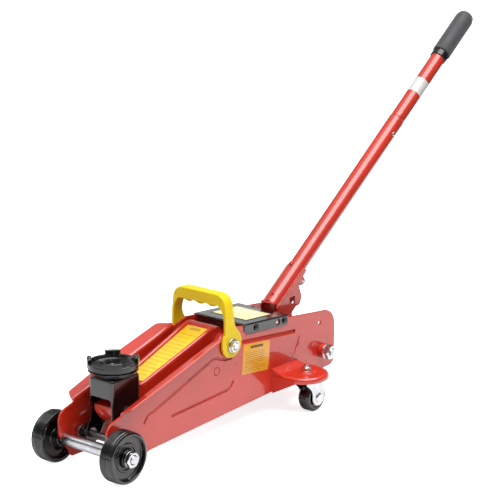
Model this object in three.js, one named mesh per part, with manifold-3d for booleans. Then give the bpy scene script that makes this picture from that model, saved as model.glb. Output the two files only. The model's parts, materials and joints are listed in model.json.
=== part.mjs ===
// A two-tonne hydraulic floor jack, in millimetres, +Z up, the saddle towards -Y and the handle towards +Y.
// Inside the model Y is measured from the front axle. At the end the whole jack is centred over its own box.
import * as THREE from 'three';
import { mergeVertices } from 'three/addons/utils/BufferGeometryUtils.js';
import Module from 'manifold-3d';

const wasm = await Module();
wasm.setup();

// ---------------------------------------------------------------- driving dimensions
const GAP = 0.3; // between two pieces that touch in life
const SHEET = 3; // pressed steel of the chassis
const PLATE_X = 42; // outer face of a side plate
const WHEEL = { radius: 32.5, outer: 68, inner: 48, hub: 42.6 };
const AXLE = { y: 0, z: WHEEL.radius, radius: 6, barRadius: 8, half: 76.5 };
const ARM_PIVOT = { y: 216, z: 117, radius: 7, stud: 5 };
const LINK_DROP = { y: -26, z: -29 }; // from an arm pivot to the link pivot below it
const NOSE_PIN = { y: 50, z: 66, radius: 5 };
const LEVER_PIN = { y: 237.4, z: 88.1, radius: 5 };
const RAM = { z: 84, radius: 11, rear: 322, slotHalf: 5.9 };
const SADDLE = { y: 45, seat: 113.4, rim: 128.9, top: 134.5, radius: 32.2 };
const BRACKET = { half: 20, front: 22, rear: 72, top: 113 };
const PEAK = { y: 225, z: 138 }; // highest point of a side plate
const FRONT_SLOPE = 0.2966; // rise of the top edge ahead of the peak
const REAR_SLOPE = 0.1022; // fall of the top edge behind it
const WING = { top: 57, centreY: 338, centreX: 71, radius: 30.5, front: 302, slope: 58, slopeRise: 6 };
const WING_SEAT = { radius: 11.5, rise: 1.2, hole: 6.2 }; // raised round the caster bolt
const CASTER = { x: 72, y: 337.5, axleY: 349.75, radius: 20 };
const COVER = { front: 243, length: 91.6, half: 43.9, sheet: 1.5, tab: 13, fall: 0.07 };
const COVER_SCREWS = { front: 24.4, rear: 83.6, drop: 5.6 }; // measured from the cover's front edge
const COVER_EYE = { y: 69.6, z: -5.4, radius: 4.4 }; // a hole through each of its turned-down sides
const BLOCK = { front: 330.4, rear: 420, half: 34, floor: 44, top: 86 };
const SOCKET_PIVOT = { y: 360, z: 112, radius: 4 };
const HANDLE = { y: 345, z: 126.9, angle: THREE.MathUtils.degToRad(36.9) };
const ROLLER_ARM = { length: 15, angle: THREE.MathUtils.degToRad(-7.5), radius: 5 };
const REAR_BOLT = { y: 410, z: 63, radius: 6, half: 62 };
const VALVE = { z: 77, radius: 4.5 };
const CARRY = { inner: 42.4, outer: 46, top: 184.5, reach: 18.5, forward: 4.6, disc: 19, discRise: 2.5 };
const CARRY_LEAN = { by: 3, from: 151 };
const CARRY_BAR = 8.2; // half the width of the bow's bar
const FLANGE = { bend: 2, turn: THREE.MathUtils.degToRad(70), width: 16, run: 240 };
const ARM_WALL = 3.6;
const SPRING = { x: 30, z: 63.5, radius: 3.2, wire: 0.8, coils: 9 };
const ROUND = 14; // sides of a small round piece
const WHEEL_SIDES = 48; // enough for a road wheel to touch its own box all round

const LINK_PIN = { y: ARM_PIVOT.y + LINK_DROP.y, z: ARM_PIVOT.z + LINK_DROP.z };
const LINK_NOSE = { y: NOSE_PIN.y + LINK_DROP.y, z: NOSE_PIN.z + LINK_DROP.z };
const ROLLER = {
  y: SOCKET_PIVOT.y + ROLLER_ARM.length * Math.cos(ROLLER_ARM.angle),
  z: SOCKET_PIVOT.z + ROLLER_ARM.length * Math.sin(ROLLER_ARM.angle),
};
const PLUNGER = { y: ROLLER.y, top: ROLLER.z - ROLLER_ARM.radius - GAP, radius: 5 };

// ---------------------------------------------------------------- finishes
const FINISHES = {
  paint: [0xc4141c, 0.28, 0.1],
  black: [0x141416, 0.35, 0.3],
  zinc: [0xc9ccd0, 0.3, 0.9],
  steel: [0x8d9094, 0.35, 0.9],
  yellow: [0xf6d51e, 0.45, 0.0],
  wheel: [0x17171a, 0.4, 0.0],
  foam: [0x4c4c50, 0.85, 0.0],
  cast: [0x9a1218, 0.5, 0.2],
};

// ---------------------------------------------------------------- solids
function solid(geometry) {
  const bare = new THREE.BufferGeometry();
  bare.setAttribute('position', geometry.getAttribute('position').clone());
  if (geometry.index) bare.setIndex(geometry.index.clone());
  const merged = mergeVertices(bare, 1e-4);
  const vertProperties = new Float32Array(merged.getAttribute('position').array);
  const triVerts = new Uint32Array(merged.index.array);
  return new wasm.Manifold(new wasm.Mesh({ numProp: 3, vertProperties, triVerts }));
}

function geometryOf(body) {
  const mesh = body.getMesh();
  const geometry = new THREE.BufferGeometry();
  geometry.setAttribute('position', new THREE.BufferAttribute(mesh.vertProperties, 3));
  geometry.setIndex(new THREE.BufferAttribute(mesh.triVerts, 1));
  return geometry;
}

const join = (...bodies) => bodies.reduce((all, body) => all.add(body));
const cut = (body, ...tools) => tools.reduce((left, tool) => left.subtract(tool), body);

function mirrored(geometry) {
  const copy = geometry.clone();
  copy.scale(-1, 1, 1);
  const index = copy.index.array;
  for (let i = 0; i < index.length; i += 3) {
    [index[i + 1], index[i + 2]] = [index[i + 2], index[i + 1]];
  }
  return copy;
}

// An outline from corners [a, b, radius]; a corner with a radius becomes an arc.
function outline(corners) {
  const shape = new THREE.Shape();
  const count = corners.length;
  const cornerAt = (i) => new THREE.Vector2(...corners[(i + count) % count].slice(0, 2));
  corners.forEach(([x, y, radius = 0], i) => {
    const here = new THREE.Vector2(x, y);
    const before = cornerAt(i - 1).sub(here).normalize();
    const after = cornerAt(i + 1).sub(here).normalize();
    const half = Math.acos(THREE.MathUtils.clamp(before.dot(after), -1, 1)) / 2;
    const enter = here.clone().addScaledVector(before, radius / Math.tan(half));
    if (i === 0) shape.moveTo(enter.x, enter.y);
    else shape.lineTo(enter.x, enter.y);
    if (radius === 0) return;
    const leave = here.clone().addScaledVector(after, radius / Math.tan(half));
    const middle = before.clone().add(after).normalize();
    const centre = here.clone().addScaledVector(middle, radius / Math.sin(half));
    const from = enter.sub(centre).angle();
    const to = leave.sub(centre).angle();
    const clockwise = before.cross(after) > 0;
    shape.absarc(centre.x, centre.y, radius, from, to, clockwise);
  });
  shape.closePath();
  return shape;
}

function extruded(shape, depth, curveSegments) {
  return new THREE.ExtrudeGeometry(shape, { depth, bevelEnabled: false, curveSegments });
}

// Corners in (y, z), pushed along X from x0 to x1.
function sideways(corners, x0, x1, curveSegments = 2) {
  const geometry = extruded(outline(corners), x1 - x0, curveSegments);
  const [y, z, x] = [new THREE.Vector3(0, 1, 0), new THREE.Vector3(0, 0, 1), new THREE.Vector3(1, 0, 0)];
  geometry.applyMatrix4(new THREE.Matrix4().makeBasis(y, z, x));
  geometry.translate(x0, 0, 0);
  return solid(geometry);
}

// Corners in (x, z), pushed along Y from y0 to y1.
function lengthways(corners, y0, y1, curveSegments = 2) {
  const geometry = extruded(outline(corners), y1 - y0, curveSegments);
  geometry.rotateX(Math.PI / 2);
  geometry.translate(0, y1, 0);
  return solid(geometry);
}

// Corners in (x, y), pushed up from z0 to z1.
function upwards(corners, z0, z1, curveSegments = 2) {
  const geometry = extruded(outline(corners), z1 - z0, curveSegments);
  geometry.translate(0, 0, z0);
  return solid(geometry);
}

function box(x0, x1, y0, y1, z0, z1) {
  const geometry = new THREE.BoxGeometry(x1 - x0, y1 - y0, z1 - z0);
  geometry.translate((x0 + x1) / 2, (y0 + y1) / 2, (z0 + z1) / 2);
  return solid(geometry);
}

// A turned piece: points [radius, distance along the axis], closed on itself.
function turned(points, axis, [x, y, z] = [0, 0, 0], sides = ROUND) {
  const profile = points.map(([radius, along]) => new THREE.Vector2(radius, along));
  if (points[0][0] > 0) profile.push(profile[0].clone());
  const geometry = new THREE.LatheGeometry(profile, sides);
  if (axis === 'x') geometry.rotateZ(-Math.PI / 2);
  if (axis === 'z') geometry.rotateX(Math.PI / 2);
  geometry.translate(x, y, z);
  return turnedOut(geometry);
}

// A lathe faces inwards when its profile runs the other way round; then its triangles are turned over.
function turnedOut(geometry) {
  const merged = mergeVertices(geometry.deleteAttribute('normal').deleteAttribute('uv'), 1e-4);
  const { position } = merged.attributes;
  const corners = [0, 1, 2].map(() => new THREE.Vector3());
  let volume = 0;
  for (let i = 0; i < merged.index.count; i += 3) {
    corners.forEach((corner, k) => corner.fromBufferAttribute(position, merged.index.getX(i + k)));
    volume += corners[0].dot(corners[1].cross(corners[2]));
  }
  if (volume < 0) merged.index.array.reverse();
  return solid(merged);
}

function rod(radius, from, to, axis, at, sides = ROUND) {
  return turned([[0, from], [radius, from], [radius, to], [0, to]], axis, at, sides);
}

function ring(inner, outer, from, to, axis, at, sides = ROUND) {
  return turned([[inner, from], [outer, from], [outer, to], [inner, to]], axis, at, sides);
}

function hexagon(acrossFlats, from, to, axis, at) {
  return rod(acrossFlats / Math.sqrt(3), from, to, axis, at, 6);
}

function crosswise({ y, z }, radius, half = 100, sides = ROUND) {
  return rod(radius, -half, half, 'x', [0, y, z], sides);
}

// ---------------------------------------------------------------- scene
const jack = new THREE.Group();

function add(name, body, finish, parent = jack) {
  const [color, roughness, metalness] = FINISHES[finish];
  const geometry = body.isBufferGeometry ? body : geometryOf(body);
  const material = new THREE.MeshStandardMaterial({ color, roughness, metalness });
  const mesh = new THREE.Mesh(geometry, material);
  mesh.name = name;
  parent.add(mesh);
}

// A piece on the jack's left, +X, and its mirror image on the right.
function addPair(name, body, finish) {
  const geometry = geometryOf(body);
  add(`${name}_left`, geometry, finish);
  add(`${name}_right`, mirrored(geometry), finish);
}

// ---------------------------------------------------------------- chassis
const topEdge = (y) => PEAK.z - (y < PEAK.y ? FRONT_SLOPE : -REAR_SLOPE) * (PEAK.y - y);

// The flange is the plate's top edge bent outwards, so it still rises a little towards its lip.
function flange() {
  const { bend, turn, width, run } = FLANGE;
  const outer = bend + SHEET;
  const centre = PLATE_X + bend;
  const lip = { x: width * Math.sin(turn), z: width * Math.cos(turn) };
  const foot = 4;
  const section = new THREE.Shape();
  section.moveTo(PLATE_X - SHEET, -foot);
  section.lineTo(PLATE_X, -foot);
  section.absarc(centre, 0, bend, Math.PI, Math.PI - turn, true);
  section.lineTo(centre - bend * Math.cos(turn) + lip.x, bend * Math.sin(turn) + lip.z);
  section.lineTo(centre - outer * Math.cos(turn) + lip.x, outer * Math.sin(turn) + lip.z);
  section.absarc(centre, 0, outer, Math.PI - turn, Math.PI, false);
  const geometry = extruded(section, run, 2);
  geometry.rotateX(Math.PI / 2 + Math.atan(FRONT_SLOPE));
  geometry.translate(0, PEAK.y, PEAK.z);
  const plan = [
    [38, 15.5], [45, 15.5], [54.5, 19.5, 4], [58.5, 110, 60], [57.5, 184, 9], [44, 198], [38, 198],
  ];
  return solid(geometry).intersect(upwards(plan, 60, 170));
}

function sidePlate() {
  const rearY = 439;
  const corners = [
    [10, 7, 4], [36, 7, 10], [62, 18.5, 20], [300, 31], [rearY, 37.5, 12],
    [rearY, topEdge(rearY), 24], [PEAK.y, PEAK.z, 8], [-11, topEdge(-11), 18], [-11, 40, 6],
  ];
  const plate = sideways(corners, PLATE_X - SHEET, PLATE_X, 3);
  return cut(
    join(plate, flange()),
    crosswise(AXLE, AXLE.radius + GAP),
    crosswise(ARM_PIVOT, ARM_PIVOT.radius + GAP),
    crosswise(LINK_PIN, 5 + GAP),
    crosswise(REAR_BOLT, REAR_BOLT.radius + GAP),
    crosswise({ y: 405, z: 103 }, 3, 100, 12),
    ...coverScrews().map((place) => crosswise(place, 2.7, 100, 12)),
  );
}

function wing() {
  const far = WING.centreX + WING.radius;
  const near = PLATE_X + 0.1;
  const rear = WING.centreY + WING.radius;
  const plan = [[near, WING.front], [far, WING.front + 2, 30.4], [far, rear, 30.4], [near, rear]];
  const inner = [
    [near - 1, WING.front + SHEET], [far - SHEET, WING.front + 2 + SHEET, 27.4],
    [far - SHEET, rear - SHEET, 27.4], [near - 1, rear - SHEET],
  ];
  const skirtLine = [[near, 29], [80, 49], [far + 1, 49], [far + 1, 58], [near, 58]];
  const shell = cut(upwards(plan, 25, WING.top, 4), upwards(inner, 20, WING.top - SHEET, 4));
  const skirted = shell.intersect(lengthways(skirtLine, WING.front - 5, rear + 5));
  const { top } = WING;
  const slope = [[near, top - 1], [WING.slope, top - 1], [WING.slope, top], [near, top + WING.slopeRise]];
  const { radius, rise, hole } = WING_SEAT;
  const seat = [
    [hole, top - 1], [radius, top - 1], [radius, top + 0.7], [radius - 0.6, top + rise], [hole, top + rise],
  ];
  const at = [CASTER.x, CASTER.y, 0];
  const joined = join(skirted, lengthways(slope, WING.front, rear - 11), turned(seat, 'z', at, 24));
  return cut(joined, rod(hole, 40, 70, 'z', at));
}

function addChassis() {
  addPair('side_plate', sidePlate(), 'paint');
  addPair('wing', wing(), 'paint');
}

// ---------------------------------------------------------------- front axle and wheels
function addFrontAxle() {
  const end = AXLE.half;
  const bar = PLATE_X - SHEET - GAP;
  const half = [[AXLE.barRadius, bar], [6, bar], [6, end - 1], [5, end], [0, end]];
  const otherHalf = half.map(([radius, along]) => [radius, -along]).reverse();
  add('front_axle', turned([...otherHalf, ...half], 'x', [0, AXLE.y, AXLE.z]), 'zinc');
  const at = [0, AXLE.y, AXLE.z];
  addPair('axle_washer', ring(6.2, 10, WHEEL.outer + 0.5, WHEEL.outer + 2, 'x', at), 'zinc');
  const nut = cut(hexagon(18.5, WHEEL.outer + 2.2, WHEEL.outer + 7, 'x', at), crosswise(AXLE, 6.2));
  addPair('axle_nut', nut, 'zinc');
}

function addFrontWheels() {
  const { radius, outer, inner, hub } = WHEEL;
  const profile = [
    [6.3, hub], [11, hub], [11, inner + 6], [27, inner + 6], [27, inner], [radius - 1.5, inner],
    [radius, inner + 1.5], [radius, outer - 2], [radius - 2, outer], [27.5, outer], [27, outer - 5],
    [17, outer - 5], [15, outer], [6.3, outer],
  ];
  addPair('front_wheel', turned(profile, 'x', [0, AXLE.y, AXLE.z], WHEEL_SIDES), 'wheel');
}

// ---------------------------------------------------------------- casters
function addCasters() {
  const at = [CASTER.x, CASTER.y, 0];
  const seat = WING.top + WING_SEAT.rise;
  const bolt = join(
    rod(5.9, 43, seat + 1, 'z', at),
    rod(9, 41.4, 45, 'z', at),
    hexagon(12, seat + GAP, seat + 5.8, 'z', at),
    rod(3.4, seat + 5, seat + 8.6, 'z', at),
  );
  addPair('caster_bolt', bolt, 'zinc');

  const half = 12.2;
  const forkTop = 48;
  const axle = { y: CASTER.axleY, z: CASTER.radius };
  const lobe = 12.2; // half the width of a cheek at the axle
  const foot = axle.z - lobe + 0.2;
  const side = [
    [326, forkTop, 2], [354, forkTop, 4], [axle.y + lobe, foot, 12], [axle.y - lobe, foot, 12],
  ];
  const cheeks = sideways(side, CASTER.x - half, CASTER.x + half);
  const dome = turned([[6.4, 47], [16, 47], [13, 50], [11, 53.5], [6.4, 53.5]], 'z', at);
  const fork = cut(
    join(cheeks, dome),
    box(CASTER.x - half + 2.2, CASTER.x + half - 2.2, 320, 365, 5, forkTop - 2.4),
    rod(6.4, 40, 55, 'z', at),
    crosswise(axle, 3.3, 120, 12),
  );
  addPair('caster_fork', fork, 'zinc');

  const x = CASTER.x;
  const rim = CASTER.radius;
  const wheel = [
    [3.4, -9.4], [7, -9.4], [7.5, -7], [13.5, -7], [14.5, -9], [rim - 2, -9], [rim, -7],
    [rim, 7], [rim - 2, 9], [14.5, 9], [13.5, 7], [7.5, 7], [7, 9.4], [3.4, 9.4],
  ];
  addPair('caster_wheel', turned(wheel, 'x', [x, axle.y, axle.z], 20), 'wheel');
  const pin = [[0, -14.5], [5, -14.5], [5, -12.6], [3, -12.6], [3, 12.6], [5, 12.6], [5, 14.5], [0, 14.5]];
  addPair('caster_axle', turned(pin, 'x', [x, axle.y, axle.z], 12), 'zinc');
}

// ---------------------------------------------------------------- top cover
// The cover falls a little less than the plates' top edge, so it is drawn level and then tipped.
const coverTilt = new THREE.Matrix4()
  .makeTranslation(0, COVER.front, topEdge(COVER.front))
  .multiply(new THREE.Matrix4().makeRotationX(-Math.atan(COVER.fall)));

function coverScrews() {
  const { front, rear, drop } = COVER_SCREWS;
  return [front, rear].map((along) => {
    const { y, z } = new THREE.Vector3(0, along, -drop).applyMatrix4(coverTilt);
    return { y, z };
  });
}

function addCover() {
  const { half, sheet, tab, length } = COVER;
  const skin = half - sheet;
  const section = [
    [-half, -tab], [-skin, -tab], [-skin, GAP], [skin, GAP], [skin, -tab], [half, -tab],
    [half, GAP + sheet, 2], [-half, GAP + sheet, 2],
  ];
  const side = [[0, -tab, 9], [length, -tab, 2], [length, 4], [0, 4]];
  const cover = cut(
    lengthways(section, 0, length).intersect(sideways(side, -50, 50)),
    box(-16, 16, length - 7, length + 5, -5, 5),
    crosswise(COVER_EYE, COVER_EYE.radius, 100, 16),
  );
  const geometry = geometryOf(cover);
  geometry.applyMatrix4(coverTilt);
  const holes = coverScrews().map((place) => crosswise(place, 2.7, 100, 12));
  add('top_cover', cut(solid(geometry), ...holes), 'black');
  coverScrews().forEach(({ y, z }, i) => {
    const screw = [[0, 37], [2.4, 37], [2.4, 44.2], [4.2, 44.2], [4.2, 45.4], [3, 46.6], [0, 46.6]];
    addPair(`cover_screw_${['front', 'rear'][i]}`, turned(screw, 'x', [0, y, z], 12), 'black');
  });
}

// ---------------------------------------------------------------- arm pivot and carry handle
function addArmPivot() {
  const { y, z, radius, stud } = ARM_PIVOT;
  const shoulder = PLATE_X + 0.4;
  const end = 53;
  const shaft = [
    [0, -end], [stud, -end], [stud, -shoulder], [radius, -shoulder],
    [radius, shoulder], [stud, shoulder], [stud, end], [0, end],
  ];
  add('arm_pivot_shaft', turned(shaft, 'x', [0, y, z]), 'steel');
  const start = CARRY.outer + 0.4;
  const nut = cut(
    join(rod(9.5, start, start + 1.8, 'x', [0, y, z]), hexagon(15, start + 1.5, start + 5.8, 'x', [0, y, z])),
    crosswise(ARM_PIVOT, stud + 0.2),
  );
  addPair('pivot_nut', nut, 'zinc');
}

// The bow's two arms stand straight beside the plates, then lean in towards the grip.
function addCarryHandle() {
  const { inner, outer, top, reach, forward, disc, discRise } = CARRY;
  const { by: lean, from: leanFrom } = CARRY_LEAN;
  const { y, z } = ARM_PIVOT;
  const roof = top - reach;
  const middle = y - forward;
  const bow = [
    [-outer, z], [outer, z], [outer, leanFrom], [outer - lean, top, 16],
    [lean - outer, top, 16], [-outer, leanFrom],
  ];
  const opening = [
    [-inner, z - 1], [inner, z - 1], [inner, leanFrom], [inner - lean, roof, 8], [lean - inner, roof, 8],
    [-inner, leanFrom],
  ];
  const grips = [-30, -10, 10, 30].map((x) => rod(9.4, y - 20, y + 20, 'y', [x, 0, roof - 6], 16));
  const solidBow = lengthways(bow, middle - CARRY_BAR, middle + CARRY_BAR, 3);
  const bar = cut(solidBow, lengthways(opening, y - 20, y + 20, 3), ...grips);
  const flare = [
    [y - 14, z], [y + 15, z], [y + 14, z + 14], [y + 6, z + 26], [middle + CARRY_BAR, leanFrom + 3],
    [middle - CARRY_BAR, leanFrom + 3], [y - 13.5, z + 16],
  ];
  const sides = [[inner, outer], [-outer, -inner]].map(([x0, x1]) =>
    join(sideways(flare, x0, x1), rod(disc, x0, x1, 'x', [0, y, z + discRise], 24)),
  );
  add('carry_handle', cut(join(bar, ...sides), crosswise(ARM_PIVOT, ARM_PIVOT.stud + GAP)), 'yellow');
}

// ---------------------------------------------------------------- lift arm, links, bracket and saddle
function liftArm() {
  const side = [
    [27, 75.5, 2], [214, 139.5, 6], [234, 124, 12], [249, 86, 9], [236, 76, 8], [212, 92, 8],
    [190, 97, 20], [62, 48, 14], [36, 48, 8], [27, 66, 4],
  ];
  const halfWidths = [[16.7, 15], [16.7, 74], [19.5, 80], [24, 200], [24, 212], [22, 222], [22, 260]];
  const across = (inset, extra) => [
    ...halfWidths.map(([x, y], i) => [x - inset, i === 0 ? y - extra : y]),
    ...halfWidths.map(([x, y], i) => [inset - x, i === 0 ? y - extra : y]).reverse(),
  ];
  const under = [[31, 20], [31, 73.2], [219, 137.5], [221, 170], [270, 170], [270, 20]];
  const hollow = upwards(across(ARM_WALL, 2), 10, 180).intersect(sideways(under, -40, 40));
  const shell = cut(sideways(side, -25, 25).intersect(upwards(across(0, 0), 0, 200)), hollow);
  const at = [0, ARM_PIVOT.y, ARM_PIVOT.z];
  const bosses = [[18, 38.6], [-38.6, -18]].map(([x0, x1]) => rod(12, x0, x1, 'x', at));
  return cut(
    join(shell, ...bosses),
    crosswise(ARM_PIVOT, ARM_PIVOT.radius + GAP),
    crosswise(NOSE_PIN, NOSE_PIN.radius + GAP),
    crosswise(LEVER_PIN, LEVER_PIN.radius + 0.2),
  );
}

// A rod with a round head outside each end.
function headedPin({ y, z }, radius, half, headRadius, headLength) {
  const neck = half - headLength;
  const points = [
    [0, -half], [headRadius, -half], [headRadius, -neck], [radius, -neck],
    [radius, neck], [headRadius, neck], [headRadius, half], [0, half],
  ];
  return turned(points, 'x', [0, y, z]);
}

function addArm() {
  add('lift_arm', liftArm(), 'paint');
  add('lever_pin', headedPin(LEVER_PIN, LEVER_PIN.radius, 24.8, 7, 2.6), 'steel');
}

function addLinks() {
  const run = new THREE.Vector2(LINK_PIN.y - LINK_NOSE.y, LINK_PIN.z - LINK_NOSE.z);
  const length = run.length();
  const width = 8.5;
  const strap = [
    [-width, -width, width - 0.1], [length + width, -width, width - 0.1],
    [length + width, width, width - 0.1], [-width, width, width - 0.1],
  ];
  const geometry = geometryOf(cut(
    sideways(strap, 27, 32, 2),
    crosswise({ y: 0, z: 0 }, 5.3),
    crosswise({ y: length, z: 0 }, 5.3),
  ));
  geometry.rotateX(run.angle());
  geometry.translate(0, LINK_NOSE.y, LINK_NOSE.z);
  addPair('link_bar', solid(geometry), 'black');
  const stub = [[0, 26.2], [7, 26.2], [7, 26.8], [5, 26.8], [5, PLATE_X + 0.8], [0, PLATE_X + 0.8]];
  addPair('link_stub', turned(stub, 'x', [0, LINK_PIN.y, LINK_PIN.z]), 'paint');
}

function saddleBracket() {
  const { half, front, rear, top } = BRACKET;
  const leg = [
    [front, top, 2], [rear, top, 4], [rear, 74, 10], [46, 44, 14],
    [36, 27, 9], [14, 27, 9], [13, 44, 9], [front, 60, 8],
  ];
  const block = sideways(leg, -half, half);
  const room = box(-half + 2.8, half - 2.8, front + SHEET, rear + 5, 0, top - SHEET);
  const window = lengthways(
    [[-half + 2.8, 0], [half - 2.8, 0], [half - 2.8, 88, 5], [-half + 2.8, 88, 5]], 0, front + SHEET + 1,
  );
  return cut(
    block,
    room,
    window,
    crosswise(NOSE_PIN, NOSE_PIN.radius + 0.2),
    crosswise(LINK_NOSE, 5),
    rod(8.4, 100, 120, 'z', [0, SADDLE.y, 0]),
  );
}

function saddle() {
  const { y, seat, rim, top, radius } = SADDLE;
  const cup = [
    [0, 104], [8, 104], [8, seat], [26, seat], [28.5, 116], [30, 119.5], [29.4, 121.4], [radius, 122.4],
    [radius, rim], [27.5, rim], [26, 123], [12.5, 121.5], [12, 123.4], [0, 123.4],
  ];
  const at = [0, y, 0];
  const crown = ring(27.6, radius, rim - 4, top, 'z', at, 28);
  const bar = () => new THREE.BoxGeometry(18.6, 90, 40);
  const [one, other] = [Math.PI / 4, -Math.PI / 4].map((angle) => {
    const geometry = bar();
    geometry.rotateZ(angle);
    geometry.translate(0, y, rim);
    return solid(geometry);
  });
  return join(turned(cup, 'z', at, 28), crown.intersect(join(one, other)));
}

function addBracket() {
  add('saddle_bracket', saddleBracket(), 'black');
  add('arm_nose_pin', headedPin(NOSE_PIN, NOSE_PIN.radius, 23.4, 8, 3), 'steel');
  add('link_nose_pin', headedPin(LINK_NOSE, 4.8, 37.2, 8, 4.6), 'steel');
  add('saddle', saddle(), 'black');
}

// ---------------------------------------------------------------- hydraulic unit
function addRam() {
  const { y } = LEVER_PIN;
  const { z, radius, rear, slotHalf } = RAM;
  const yoke = box(-11.5, 11.5, y - 9.9, y + 9.9, 60, 98);
  const slot = box(-20, 20, y - slotHalf, y + slotHalf, 75, 94.3);
  const rodEnd = rod(radius, y + 9, rear, 'y', [0, 0, z]);
  const spreader = box(-34, 34, y - 5.5, y + 5.5, 60, 67);
  add('ram', cut(join(yoke, rodEnd, spreader), slot), 'steel');
}

function addCylinder() {
  const { z, radius } = RAM;
  const front = 262;
  const profile = [
    [radius + 0.4, front], [20, front], [20, front + 8], [24, front + 10], [24, BLOCK.front - GAP],
    [8, BLOCK.front - GAP], [8, 325], [14, 325], [14, front + 9], [radius + 0.4, front + 9],
  ];
  add('hydraulic_cylinder', turned(profile, 'y', [0, 0, z], 20), 'cast');
}

function addPumpBlock() {
  const { front, rear, half, floor, top } = BLOCK;
  const { y, z, radius } = SOCKET_PIVOT;
  const body = sideways([[front, floor, 4], [rear, floor, 8], [rear, top, 8], [front, top, 4]], -half, half);
  const ear = join(box(-8, 8, y - 6, y + 6, top - 1, z), rod(7.3, -8, 8, 'x', [0, y, z]));
  const boss = rod(9, top - 1, 93, 'z', [0, PLUNGER.y, 0]);
  const block = cut(
    join(body, ear, boss),
    crosswise(SOCKET_PIVOT, radius + 0.2),
    crosswise(REAR_BOLT, REAR_BOLT.radius + 0.4),
    rod(PLUNGER.radius + GAP, 46, 120, 'z', [0, PLUNGER.y, 0]),
    rod(VALVE.radius + GAP, 396, rear + 10, 'y', [0, 0, VALVE.z]),
  );
  add('pump_block', block, 'cast');
  add('socket_pin', headedPin(SOCKET_PIVOT, radius, 17.4, 6.5, 2.2), 'zinc');
  const plunger = rod(PLUNGER.radius, 56, PLUNGER.top, 'z', [0, PLUNGER.y, 0]);
  add('pump_plunger', plunger, 'zinc');
}

function addReleaseValve() {
  const stem = rod(VALVE.radius, 398, BLOCK.rear + 6, 'y', [0, 0, VALVE.z]);
  const knob = rod(8, BLOCK.rear + 5, BLOCK.rear + 14, 'y', [0, 0, VALVE.z]);
  const key = box(-9, 9, BLOCK.rear + 10, BLOCK.rear + 15, VALVE.z - 1.5, VALVE.z + 1.5);
  add('release_valve', cut(join(stem, knob), key), 'steel');
}

function addRearBolt() {
  const { y, z, radius, half } = REAR_BOLT;
  const at = [0, y, z];
  add('rear_cross_bolt', rod(radius, -half, half, 'x', at), 'zinc');
  addPair('rear_spacer', ring(radius + GAP, 10, PLATE_X + GAP, PLATE_X + 8, 'x', at), 'paint');
  const start = PLATE_X + 8 + GAP;
  const nut = cut(
    join(rod(10.5, start, start + 1.8, 'x', at), hexagon(18, start + 1.5, start + 9, 'x', at)),
    crosswise(REAR_BOLT, radius + 0.2),
  );
  addPair('rear_nut', nut, 'zinc');
}

class Coil extends THREE.Curve {
  constructor(from, to) {
    super();
    this.ends = [from, to];
  }

  getPoint(t, target = new THREE.Vector3()) {
    const angle = t * SPRING.coils * 2 * Math.PI;
    const y = THREE.MathUtils.lerp(...this.ends, t);
    const { x, z, radius } = SPRING;
    return target.set(x + radius * Math.cos(angle), y, z + radius * Math.sin(angle));
  }
}

function addReturnSprings() {
  const wire = new THREE.Shape();
  wire.absarc(0, 0, SPRING.wire, 0, 2 * Math.PI, false);
  const path = new Coil(LEVER_PIN.y + 7, BLOCK.front - 1.5);
  const options = { extrudePath: path, steps: SPRING.coils * 6, curveSegments: 2, bevelEnabled: false };
  addPair('return_spring', solid(new THREE.ExtrudeGeometry(wire, options)), 'steel');
}

// ---------------------------------------------------------------- handle
// Everything here is drawn with Y along the tube and Z away from its underside, then tipped up as one group.
const handle = new THREE.Group();
handle.position.set(0, HANDLE.y, HANDLE.z);
handle.rotation.x = HANDLE.angle;
jack.add(handle);

function alongHandle({ y, z }) {
  const point = new THREE.Vector3(0, y - HANDLE.y, z - HANDLE.z);
  point.applyAxisAngle(new THREE.Vector3(1, 0, 0), -HANDLE.angle);
  return { y: point.y, z: point.z };
}

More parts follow.
